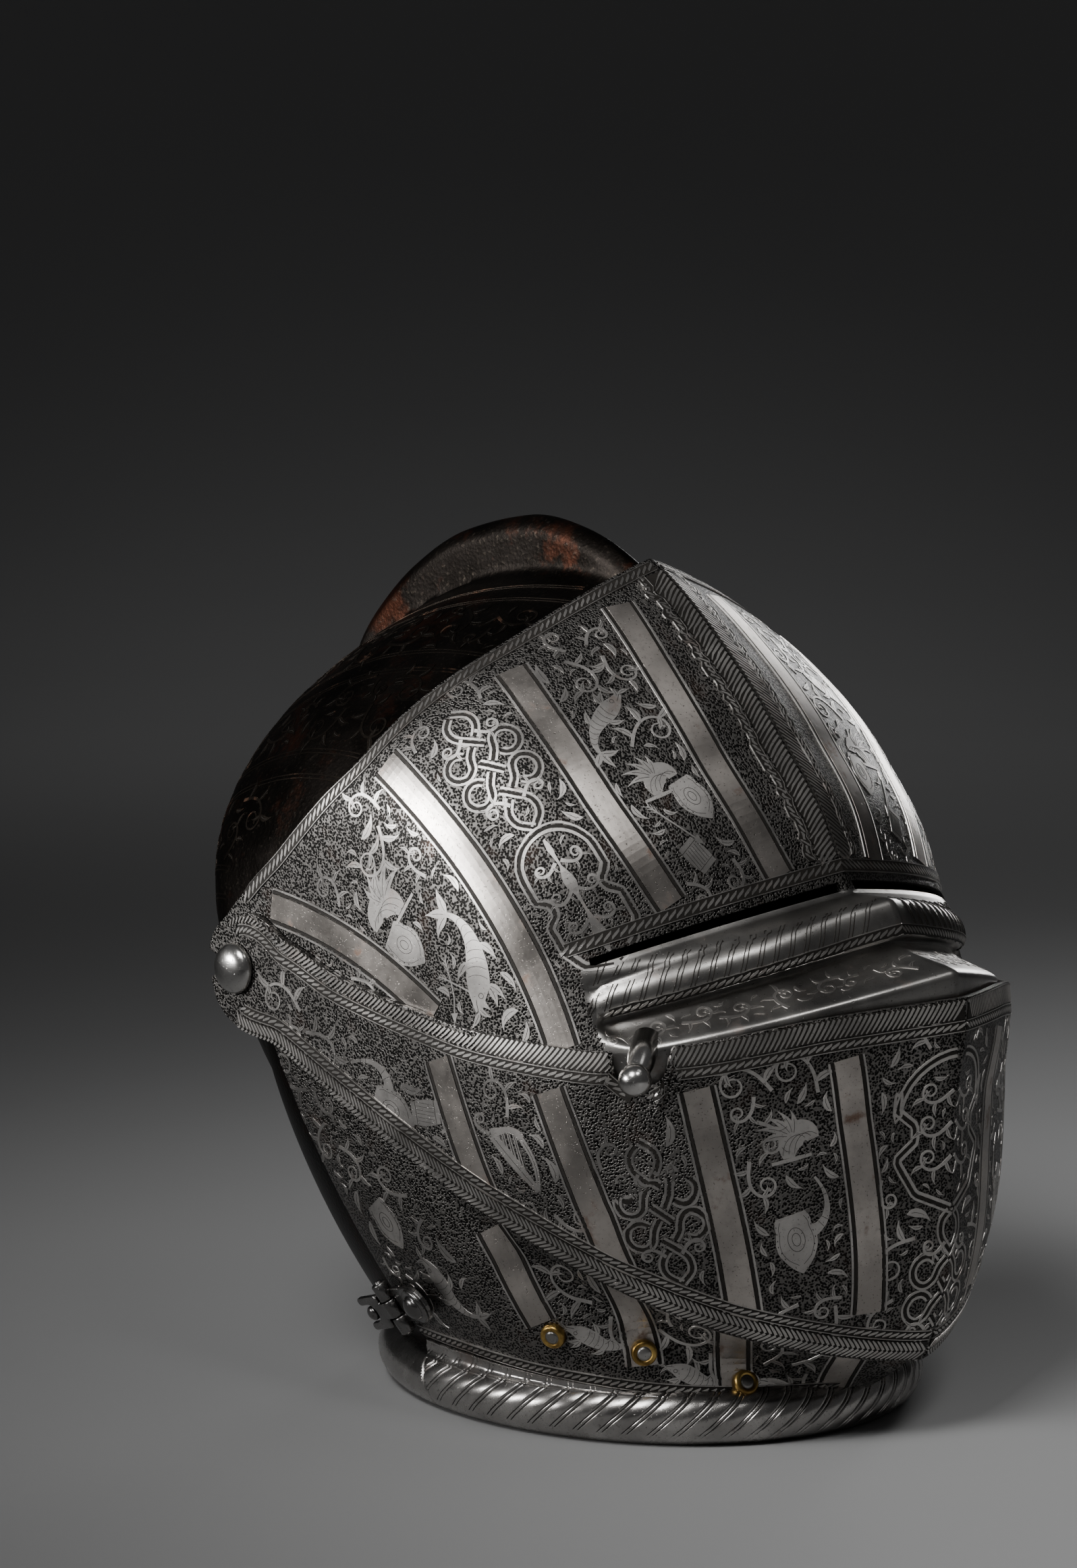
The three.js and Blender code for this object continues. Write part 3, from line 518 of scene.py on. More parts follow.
def piece(name, made, materials, body, slot, *nodes):
    """Object from a bmesh, riding on a body and standing for CAD nodes."""
    mesh = bpy.data.meshes.new(name)
    made.to_mesh(mesh)
    made.free()
    for material in materials:
        mesh.materials.append(material)
    made = bpy.data.objects.new(name, mesh)
    bpy.context.scene.collection.objects.link(made)
    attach(made, body)
    if nodes:
        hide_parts(*nodes)
    return made


def grid(spots, face_material, skip):
    """bmesh grid whose corners go to an array of places, rows by columns, with its faces turned outward."""
    rows, columns = spots.shape[:2]
    made = bmesh.new()
    bmesh.ops.create_grid(made, x_segments=columns - 1, y_segments=rows - 1, size=1)
    made.verts.ensure_lookup_table()
    for vertex in made.verts:
        i = round((vertex.co.x + 1) / 2 * (columns - 1))
        j = round((vertex.co.y + 1) / 2 * (rows - 1))
        vertex.index = j * columns + i
        vertex.co = spots[j, i] * MM
    made.faces.ensure_lookup_table()
    gone = []
    for face in made.faces:
        at = min(v.index for v in face.verts)
        row, column = divmod(at, columns)
        face.smooth = True
        if skip[row, column]:
            gone.append(face)
        else:
            face.material_index = int(face_material[row, column])
    bmesh.ops.delete(made, geom=gone, context="FACES")
    bmesh.ops.remove_doubles(made, verts=made.verts, dist=1e-6)
    made.normal_update()
    middle = Vector((0, 0, PIVOT_Z * MM))
    out = sum(f.normal.dot(f.calc_center_median() - middle) for f in made.faces)
    if out < 0:
        bmesh.ops.reverse_faces(made, faces=made.faces)
    return made


def middle_gap(spots):
    """The face column between a plate's two halves, which the merged middle or the neck takes up."""
    gone = np.zeros((spots.shape[0] - 1, spots.shape[1] - 1), bool)
    gone[:, spots.shape[1] // 2 - 1] = True
    return gone


EDGE_SOFT = 0.45
EDGE_ANGLE = 50


def thicken(plate, sheet, inside_step, edge=EDGE_SOFT):
    """Sheet metal: thickness inward and softened edges."""
    wall = plate.modifiers.new("sheet", "SOLIDIFY")
    wall.thickness = sheet * MM
    wall.offset = -1
    wall.material_offset = inside_step
    soften = plate.modifiers.new("edges", "BEVEL")
    soften.width = edge * MM
    soften.segments = 2
    soften.limit_method = "ANGLE"
    soften.angle_limit = math.radians(EDGE_ANGLE)
    return plate


def spaced(dense, step, keep=()):
    """Row values at even distances along the middle line of a plate, with some values kept exactly."""
    values, line = dense
    run = walk(line)
    count = int(run[-1] / step)
    picked = np.interp(np.linspace(0, run[-1], count + 1), run, values)
    for value in keep:
        picked[np.argmin(np.abs(picked - value))] = value
    return picked


def plate_spots(right, columns, left=None):
    """Grid of a plate from its ribs, ear to ear with the middle twice; the left side may have its own."""
    halves = [even_ribs(ribs, columns) for ribs in (right, left or right)]
    return np.concatenate([(halves[0] * (-1, 1, 1))[:, ::-1], halves[1]], 1)


SIGHT_TOP = 11.75
SIGHT_BOTTOM = 10.75
BRIDGE_HALF = 4
SIGHT_END = 88
# How finely the plates are divided
DENSE = 2400
VISOR_STEP = 1.6
VISOR_COLUMNS = 136
UPPER_COUNT = 84
UPPER_COLUMNS = 210
CHIN = -36.8
CHIN_COUNT = 44
THROAT_COUNT = 84
LOWER_COLUMNS = 140
SKULL_STEP = 2.3
NAPE_COUNT = 40
SKULL_COLUMNS = 92

visor_at = np.linspace(VISOR_TOP, VISOR_LOW, DENSE)
visor_line = round_pivot(0 * visor_at, VISOR_RIBS.read("reach", visor_at), visor_at)
VISOR_ROWS = spaced((visor_at[::-1], visor_line[::-1]), VISOR_STEP, (SIGHT_TOP, SIGHT_BOTTOM))[::-1]
visor_spots = plate_spots([visor_rib(at) for at in VISOR_ROWS], VISOR_COLUMNS)

UPPER_ROWS = np.linspace(0, 1, UPPER_COUNT)
upper_spots = plate_spots(
    [upper_rib(v, True) for v in UPPER_ROWS], UPPER_COLUMNS, [upper_rib(v, False) for v in UPPER_ROWS]
)

LOWER_TURN = seam_turn(SEAM)
LOWER_ROWS = [(at, None) for at in np.linspace(LOWER_TOP, CHIN, CHIN_COUNT)]
LOWER_ROWS += [(None, turn) for turn in np.linspace(180, LOWER_TURN, THROAT_COUNT)]
lower_spots = plate_spots([lower_rib(*row) for row in LOWER_ROWS], LOWER_COLUMNS)

# Rows of the lower bevor between the chin and the neck are evened out, so that the plate flows into the rim
FLOW_FROM, FLOW_FULL, FLOW_LESS, FLOW_END = 26, 42, 66, 96
FLOW_EDGE = 5
FLOW_ROUNDS = 160


def flow(spots):
    rows, columns = spots.shape[:2]
    row = np.interp(np.arange(rows), (FLOW_FROM, FLOW_FULL, FLOW_LESS, FLOW_END), (0, 1, 1, 0))
    away = np.abs(np.arange(columns) - (columns - 1) / 2) - 0.5
    share = 0.5 * row[1:-1, None, None] * np.clip(away / FLOW_EDGE, 0, 1)[:, None]
    for _ in range(FLOW_ROUNDS):
        spots[1:-1] = mix(spots[1:-1], (spots[:-2] + spots[2:]) / 2, share)
    return spots


lower_spots = flow(lower_spots)

SEAM_GAP = 0.3
SKULL_TURN = seam_turn(SEAM - SEAM_GAP)
NAPE = neck_end(0)[0] + 360
skull_at = np.linspace(BROW, NAPE, DENSE)
skull_reach = SKULL_RIBS.read("reach", skull_at) + SKULL_RIBS.read("comb", skull_at)
skull_line = round_pivot(0 * skull_at, skull_reach, skull_at)
SKULL_ROWS = [(at, None) for at in spaced((skull_at, skull_line), SKULL_STEP)[:-1]]
SKULL_ROWS += [(None, turn) for turn in np.linspace(0, SKULL_TURN, NAPE_COUNT)]
skull_spots = plate_spots([skull_rib(*row) for row in SKULL_ROWS], SKULL_COLUMNS)

# Behind the ends of the flange the sides of the visor run smoothly from above the sight to the lower edge
SMOOTH_TOP = 13.2
SMOOTH_LOW = 0.6
SMOOTH_FROM = 84
SMOOTH_TO = 93


def smooth_sides(spots, rows):
    away = np.hypot(spots[..., 1] - PIVOT_Y, spots[..., 2] - PIVOT_Z)
    turn = np.arctan2(spots[..., 2] - PIVOT_Z, PIVOT_Y - spots[..., 1])
    half = np.abs(spots[..., 0])
    above = np.argmin(np.abs(rows - SMOOTH_TOP))
    below = np.argmin(np.abs(rows - SMOOTH_LOW))
    columns = spots.shape[1]
    for side in (slice(0, columns // 2), slice(columns // 2, columns)):
        level = []
        for row in (above, below):
            order = np.argsort(half[row, side])
            level.append((half[row, side][order], away[row, side][order]))
        for row in range(above + 1, below):
            wide = half[row, side]
            down = (rows[above] - rows[row]) / (rows[above] - rows[below])
            plain = mix(np.interp(wide, *level[0]), np.interp(wide, *level[1]), down)
            away[row, side] = mix(away[row, side], plain, ease(ramp(wide, SMOOTH_FROM, SMOOTH_TO)))
    y = PIVOT_Y - away * np.cos(turn)
    return np.stack([spots[..., 0], y, PIVOT_Z + away * np.sin(turn)], -1)


visor_spots = smooth_sides(visor_spots, VISOR_ROWS)

# The flange under the sight is a rounded roll with a closed end
ROLL_AT = 7.65
ROLL_HALF_AT = 1.95
ROLL_END = 90
ROLL_CAP = 6
ROLL_OUT = 3.4
ROLL_LEAST = 0.35
ROLL_FULL = 45
ROLL_LEAN = np.array((0.45, -0.85, -0.05))


def round_flange(spots, rows):
    up = (rows[:, None] - ROLL_AT) / ROLL_HALF_AT
    half = np.abs(spots[..., 0])
    on = np.clip((half - ROLL_END + ROLL_CAP) / ROLL_CAP, 0, None)
    roll = ROLL_OUT * np.sqrt(np.clip(1 - up ** 2 - on ** 2, 0, 1))
    roll = roll * np.clip(half / ROLL_FULL, ROLL_LEAST, 1)
    side = np.sign(spots[..., 0]) * np.clip(half / ROLL_END, 0, 1)
    lean = np.stack([side * ROLL_LEAN[0], 0 * half + ROLL_LEAN[1], 0 * half + ROLL_LEAN[2]], -1)
    return spots + roll[..., None] * lean


visor_spots = round_flange(visor_spots, VISOR_ROWS)

PLAIN_END = 91
visor_top = VISOR_ROWS[:-1, None]
visor_middle = np.abs(visor_spots[:-1, :-1, 0] + visor_spots[1:, 1:, 0]) / 2
visor_open = (visor_middle > BRIDGE_HALF) & (visor_middle < SIGHT_END)
visor_slit = visor_open & (visor_top <= SIGHT_TOP + 0.001) & (visor_top > SIGHT_BOTTOM + 0.001)


ETCHED_PLATE = [GROUND, PLAIN, INSIDE, INSIDE]
SKULL_PLATE = [RUSSET, PLAIN, INSIDE, INSIDE]
INSIDE_STEP = 2


def build_visor():
    plain = (visor_top <= SIGHT_BOTTOM + 0.01) & (visor_middle < PLAIN_END)
    made = grid(visor_spots, plain, visor_slit | middle_gap(visor_spots))
    plate = piece("visor_plate", made, ETCHED_PLATE, "visor", "etched_steel", "visor")
    return thicken(plate, SHEET, INSIDE_STEP)


def build_plate(name, spots, materials, body, slot):
    made = grid(spots, np.zeros(spots.shape[:2]), middle_gap(spots))
    return thicken(piece(name, made, materials, body, slot, body), SHEET, INSIDE_STEP)


# Pairs of slanted cut lines on the neck rim: where they fall in each pitch, and how far they lean
ROPE_PITCH = 7.6
ROPE_LEAN = 9
ROPE_CUTS = (2.4, 4.0)
ROPE_CUT_DEPTH = 0.35
CUT_EDGE = 0.35
CUT_FLOOR = 0.18
ROPE_SWELL = 0.08
ROPE_STEPS = (0, 0.9, 1.7, 2.05, 2.22, 2.58, 2.75, 3.2, 3.65, 3.82, 4.18, 4.35, 5.1, 5.9, 6.8)
ROPE_DENSE = 1200
# Angles round the tube between which the cut lines lean, and how they fade out towards its underside
LEAN_FROM, LEAN_TO = -1.2, 1.9
FADE_TURN, FADE_SLOPE, FADE_RISE = 0.2, 3, 1.6
RIM_AROUND = 64
RIM_SPARE = 12
# The roped steel climbs the foot of the lower bevor towards the seam
COLLAR = 9.5
COLLAR_END = 152
COLLAR_FULL = 122
COLLAR_SHOULDER = math.radians(50)
COLLAR_LEAN = 0.8
COLLAR_COLUMNS = 12
COLLAR_BEND = 0.45
COLLAR_SHEET = 0.8
COLLAR_SOFT = 0.1
COLLAR_SINK = 0.3
COLLAR_BULGE = 0.5
COLLAR_STAND = 0.35
COLLAR_CUT = 0.6


def rope_rows(start, end):
    """Rows of the roping between two turns: distance, depth of cut, swell, and turn by distance."""
    turns = np.radians(np.linspace(start, end, ROPE_DENSE))
    run = walk(np.stack([NECK_HALF_X * np.sin(turns), NECK_HALF_Y * np.cos(turns)], -1))
    pitches = ROPE_PITCH * np.arange(int(run[-1] / ROPE_PITCH))
    rows = (pitches[:, None] + np.array(ROPE_STEPS)).ravel()
    phase = np.tile(ROPE_STEPS, len(pitches))
    off = np.min([np.abs(phase - at) for at in ROPE_CUTS], axis=0)
    cut = ramp(off, CUT_EDGE, CUT_FLOOR)
    swell = ROPE_SWELL * np.cos((phase - np.mean(ROPE_CUTS)) / ROPE_PITCH * 2 * math.pi)
    return rows, cut, swell, lambda distance: np.interp(distance, run, turns)


def neck_out(turn):
    out = np.stack([np.sin(turn) / NECK_HALF_X, np.cos(turn) / NECK_HALF_Y, 0 * turn], -1)
    return out / np.linalg.norm(out, axis=-1)[..., None]


def neck_oval(turn):
    return np.stack([NECK_HALF_X * np.sin(turn), NECK_Y + NECK_HALF_Y * np.cos(turn), 0 * turn], -1)


def rim_grid(start, end, roped):
    """Tube round the neck oval with a flat underside; its rows follow the lean of the cut lines."""
    rows, cut, swell, turn_at = rope_rows(start, end)
    flat = math.asin(RIM_HEIGHT / RIM_RADIUS)
    around = np.linspace(-flat, math.pi + flat, RIM_AROUND)
    turn = turn_at(rows[:, None] - ROPE_LEAN * np.sin(np.clip(around, LEAN_FROM, LEAN_TO)))
    fade = np.clip(np.sin(around + FADE_TURN) * FADE_SLOPE + FADE_RISE, 0, 1) * roped
    radius = RIM_RADIUS - (swell + ROPE_CUT_DEPTH * cut)[:, None] * fade
    spots = neck_oval(turn) + neck_out(turn) * (radius * np.cos(around))[..., None]
    spots[..., 2] = np.maximum(RIM_HEIGHT + radius * np.sin(around), 0)
    dark = (cut[:-1, None] + cut[1:, None] > 1.5) & (fade[:-1] > 0.5)
    return np.concatenate([spots, spots[:, :1]], 1), np.concatenate([dark, 0 * dark[:, :1]], 1)


def collar_table():
    """Lines from the shoulder of the rim up the lower bevor, one for each turn, on both sides."""
    turns, lines = [], []
    middle = lower_spots.shape[1] // 2
    u = np.linspace(0, 1, COLLAR_COLUMNS)[:, None]
    for row, (_, turn) in enumerate(LOWER_ROWS):
        if turn is None:
            continue
        strip = lower_spots[row, middle:]
        high = COLLAR * ease(ramp(turn, COLLAR_END, COLLAR_FULL))
        out = neck_out(np.radians(turn))
        foot = neck_oval(np.radians(turn)) + out * RIM_RADIUS * math.cos(COLLAR_SHOULDER)
        foot[2] = RIM_HEIGHT + RIM_RADIUS * math.sin(COLLAR_SHOULDER) - COLLAR_SINK
        low, head = at_distance(strip, (COLLAR_BEND * high, high))
        bend = low + out * COLLAR_BULGE
        head = head + out * COLLAR_STAND
        lines.append(foot * (1 - u) ** 2 + bend * 2 * u * (1 - u) + head * u * u)
        turns.append(turn)
    turns = np.radians(turns + [360 - turn for turn in turns[::-1]])
    return turns, np.array(lines + [line * (-1, 1, 1) for line in lines[::-1]])


def collar_grid(start, end):
    rows, cut, _, turn_at = rope_rows(start, end)
    turns, lines = collar_table()
    order = np.argsort(turns)
    rise = COLLAR * np.linspace(0, 1, COLLAR_COLUMNS)
    turn = turn_at(rows[:, None] - ROPE_LEAN * math.sin(COLLAR_SHOULDER) - COLLAR_LEAN * rise)
    spots = np.zeros((len(rows), COLLAR_COLUMNS, 3))
    for j in range(COLLAR_COLUMNS):
        for k in range(3):
            spots[:, j, k] = np.interp(turn[:, j], turns[order], lines[order, j, k])
    spots -= neck_out(turn) * (ROPE_CUT_DEPTH * COLLAR_CUT * cut)[:, None, None]
    return spots, np.repeat(cut[:-1, None] + cut[1:, None] > 1.5, COLLAR_COLUMNS - 1, 1)


def trimmed(made, angle, sign):
    """Cut a form at the seam between the skull and the lower bevor."""
    normal = Vector((0, sign * math.sin(math.radians(angle)), sign * math.cos(math.radians(angle))))
    point = Vector((0, PIVOT_Y * MM, PIVOT_Z * MM))
    geom = made.verts[:] + made.edges[:] + made.faces[:]
    bmesh.ops.bisect_plane(made, geom=geom, plane_co=point, plane_no=normal, clear_inner=True)
    return made


def build_rim(name, start, end, roped, body, angle, sign):
    spots, dark = rim_grid(start, end, roped)
    made = trimmed(grid(spots, dark, np.zeros_like(dark)), angle, sign)
    bmesh.ops.holes_fill(made, edges=[e for e in made.edges if e.is_boundary], sides=0)
    bmesh.ops.recalc_face_normals(made, faces=made.faces)
    return piece(name, made, [RIM_STEEL, BLACK], body, "bright_steel", body)


def build_collar(start, end):
    spots, dark = collar_grid(start, end)
    made = trimmed(grid(spots, dark, np.zeros_like(dark)), SEAM, 1)
    collar = piece("neck_rim_collar", made, [RIM_STEEL, BLACK], "lower_bevor", "bright_steel")
    return thicken(collar, COLLAR_SHEET, 0, COLLAR_SOFT)


build_visor()
build_plate("upper_bevor_plate", upper_spots, ETCHED_PLATE, "upper_bevor", "etched_steel")
build_plate("lower_bevor_plate", lower_spots, ETCHED_PLATE, "lower_bevor", "etched_steel")
build_plate("skull_plate", skull_spots, SKULL_PLATE, "skull", "dark_steel")
build_rim("neck_rim_front", LOWER_TURN - RIM_SPARE, 360 - LOWER_TURN + RIM_SPARE, 1,
          "lower_bevor", SEAM, 1)
build_collar(LOWER_TURN - RIM_SPARE, 360 - LOWER_TURN + RIM_SPARE)
build_rim("neck_rim_back", -SKULL_TURN - RIM_SPARE, SKULL_TURN + RIM_SPARE, 0,
          "skull", SEAM - SEAM_GAP, -1)


class Plate:
    """The outer face of a plate, ready to lay ornament on."""

    def __init__(self, spots, gone=False):
        rows, columns = spots.shape[:2]
        corner = np.arange(rows * columns).reshape(rows, columns)
        loops = np.stack([corner[:-1, :-1], corner[:-1, 1:], corner[1:, 1:], corner[1:, :-1]], -1)
        kept = ~(middle_gap(spots) | gone)
        loops = loops[kept]
        self.tree = BVHTree.FromPolygons(spots.reshape(-1, 3).tolist(), loops.reshape(-1, 4).tolist())
        down = np.gradient(spots, axis=0)
        along = np.gradient(spots, axis=1)
        out = np.cross(along, down)
        out /= np.linalg.norm(out, axis=-1)[..., None] + 1e-12
        middle = (out[:-1, :-1] + out[1:, :-1] + out[1:, 1:] + out[:-1, 1:])[kept]
        middle /= np.linalg.norm(middle, axis=-1)[:, None] + 1e-12
        centre = spots.reshape(-1, 3).mean(0)
        cell = ((spots[:-1, :-1] + spots[1:, 1:]) / 2)[kept]
        if np.sum(middle * (cell - centre)) < 0:
            middle = -middle
        self.out = middle

    def settle(self, places):
        """Nearest places on the plate, the directions out of it, and how far off its edge they were."""
        found = [self.tree.find_nearest(place) for place in places.tolist()]
        spots = np.array([spot for spot, _, _, _ in found])
        out = self.out[[face for _, _, face, _ in found]]
        gap = places - spots
        gap -= np.sum(gap * out, axis=1)[:, None] * out
        return spots, out, np.linalg.norm(gap, axis=1)


def smooth_line(points, count=80):
    """Curve through two or three points."""
    points = np.array(points, float)
    t = np.linspace(0, 1, count)[:, None]
    if len(points) == 2:
        return mix(points[0], points[1], t)
    return points[0] * (1 - t) * (1 - 2 * t) + points[1] * 4 * t * (1 - t) + points[2] * t * (2 * t - 1)


class Lane:
    """A line on a plate: x is the distance across it, to the right from outside, and y along it."""

    STEP = 1.0

    def __init__(self, plate, line, hand=1):
        self.plate = plate
        spots = plate.settle(np.asarray(line, float))[0]
        self.length = walk(spots)[-1]
        self.run = np.linspace(0, self.length, max(int(self.length / self.STEP), 2) + 1)
        self.spots = at_distance(spots, self.run)
        out = plate.settle(self.spots)[1]
        along = np.gradient(self.spots, axis=0)
        self.along = along / np.linalg.norm(along, axis=1)[:, None]
        across = hand * np.cross(out, self.along)
        self.across = across / np.linalg.norm(across, axis=1)[:, None]

    def place(self, x, y):
        """What the plate's settle gives for x and y; y past either end goes straight on."""
        past = y - np.clip(y, 0, self.length)
        spots, across, along = (
            np.stack([np.interp(y, self.run, table[:, k]) for k in range(3)], -1)
            for table in (self.spots, self.across, self.along)
        )
        return self.plate.settle(spots + x[:, None] * across + past[:, None] * along)


LIFT = 0.17
CORE_LIFT = 0.08
CUT_LIFT = LIFT + 0.04
CUT_WIDTH = 0.32
# Bands lie over the ends of the ornament beside them, and edge ropes over the ends of the bands
OVER_LIFT = 0.32
OVER_CORE = 0.24
EDGE_LIFT = 0.46
EDGE_CORE = 0.38
COVER = 4.5
SINK = 0.3
BEVEL = 0.13
# A ribbon stops where its corners land off the plate, or stand much wider or farther apart than drawn
OFF_PLATE = 0.5
STRETCH = 1.5
SLACK = 0.35
WIDE_STEP = 2.2
BRIGHT, DARK, WIDE = 0, 1, 2


def sideways(path, closed=False):
    """Direction square to a path at each of its points."""
    ahead = np.roll(path, -1, 0) - np.roll(path, 1, 0) if closed else np.gradient(path, axis=0)
    ahead /= np.linalg.norm(ahead, axis=1)[:, None] + 1e-9
    return np.stack([-ahead[:, 1], ahead[:, 0]], -1)


def parted(breaks):
    """Runs of indices between breaks."""
    return np.split(np.arange(len(breaks) + 1), np.flatnonzero(breaks) + 1)


class Relief:
    """The raised ornament of one plate: closed ribbons gathered into one mesh."""

    def __init__(self):
        self.spots = []
        self.faces = []
        self.kinds = []
        self.count = 0

    def ribbon(self, lane, path, width, kind=BRIGHT, lift=LIFT, closed=False):
        path = np.asarray(path, float)
        if len(path) < 2:
            return
        side = sideways(path, closed)
        half = np.broadcast_to(np.asarray(width, float) / 2, len(path))
        inner = np.maximum(half - BEVEL, half * 0.4)
        columns = 2 + int(np.max(width) / WIDE_STEP)
        top = np.linspace(-inner, inner, columns, axis=1)
        across = np.concatenate([-half[:, None], top, half[:, None]], 1)
        corners = path[:, None] + side[:, None] * across[..., None]
        spots, out, off = lane.place(corners[..., 0].ravel(), corners[..., 1].ravel())
        laid = spots.reshape(len(path), -1, 3)
        good = (off.reshape(len(path), -1) < OFF_PLATE).all(1)
        reach = np.linalg.norm(laid[:, -1] - laid[:, 0], axis=1)
        good &= np.abs(reach - 2 * half) < SLACK + (STRETCH - 1) * 2 * half
        drawn = np.linalg.norm(np.diff(path, axis=0), axis=1)
        step = np.linalg.norm(np.diff(laid, axis=0), axis=2)
        torn = (step > (STRETCH * drawn + SLACK + half[1:] / 2)[:, None]).any(1)
        height = np.full(laid.shape[:2], lift)
        height[:, (0, -1)] = -SINK
        spots = laid + out.reshape(laid.shape) * height[..., None]
        if good.all() and not torn.any():
            self.strip(spots, kind, closed)
            return
        for part in parted(np.diff(good) | torn):
            if good[part[0]] and len(part) > 1:
                self.strip(spots[part], kind, False)

    def strip(self, spots, kind, closed):
        """Closed ribbon from rows of corners."""
        n, m = spots.shape[:2]
        self.spots.append(spots.reshape(-1, 3))
        first = self.count + m * np.arange(n if closed else n - 1)
        second = self.count + m * (np.arange(1, n + 1) % n if closed else np.arange(1, n))
        added = m * len(first)
        for a in range(m):
            b = (a + 1) % m
            self.faces += np.stack([first + a, first + b, second + b, second + a], -1).tolist()
        if not closed:
            last = self.count + m * (n - 1)
            self.faces += [list(range(self.count + m - 1, self.count - 1, -1)), list(range(last, last + m))]
            added += 2
        self.kinds.append(np.full(added, kind))
        self.count += m * n

    def mirrored(self):
        """The same ornament on the other side."""
        other = Relief()
        other.spots = [spots * (-1, 1, 1) for spots in self.spots]
        other.faces = list(self.faces)
        other.kinds = list(self.kinds)
        other.count = self.count
        return other

    def mesh(self, name, body, materials, slot):
        spots = np.concatenate(self.spots) * MM
        mesh = bpy.data.meshes.new(name)
        mesh.from_pydata(spots.tolist(), [], self.faces)
        mesh.polygons.foreach_set("material_index", np.concatenate(self.kinds).astype(np.int32))
        made = bmesh.new()
        made.from_mesh(mesh)
        bpy.data.meshes.remove(mesh)
        bmesh.ops.recalc_face_normals(made, faces=made.faces)
        return piece(name, made, materials, body, slot)


def bow(x, y, heading, length, turn=0.0, curl=0.0, count=None):
    """Curve from a point: it starts at a heading, 0 right and 90 down, and turns evenly or curls in."""
    count = count or max(int(length / 0.9), 5)
    t = np.linspace(0, 1, count + 1)
    angle = np.radians(heading + turn * t + curl * t * t)
    mid = (angle[:-1] + angle[1:]) / 2
    step = length / count
    path = np.cumsum(np.stack([np.cos(mid), np.sin(mid)], -1) * step, 0)
    return np.concatenate([[(0, 0)], path]) + (x, y)


def loop(x, y, half_x, half_y, count=40, lean=0):
    t = np.linspace(0, 2 * np.pi, count, endpoint=False)
    turn = np.radians(lean)
    px, py = half_x * np.cos(t), half_y * np.sin(t)
    across = x + px * np.cos(turn) - py * np.sin(turn)
    return np.stack([across, y + px * np.sin(turn) + py * np.cos(turn)], -1)


def scroll_stem(x, y, heading, size, hand):
    return bow(x, y, heading, 3.1 * size, -hand * 30, hand * 520, 34)


FILL_GAP = 0.35
CURL_ROUNDS = ((13, 150), (10, 300), (7.5, 400))
FILL_ROUNDS = ((10, 200), (7.5, 400), (5.5, 700), (3.8, 900))


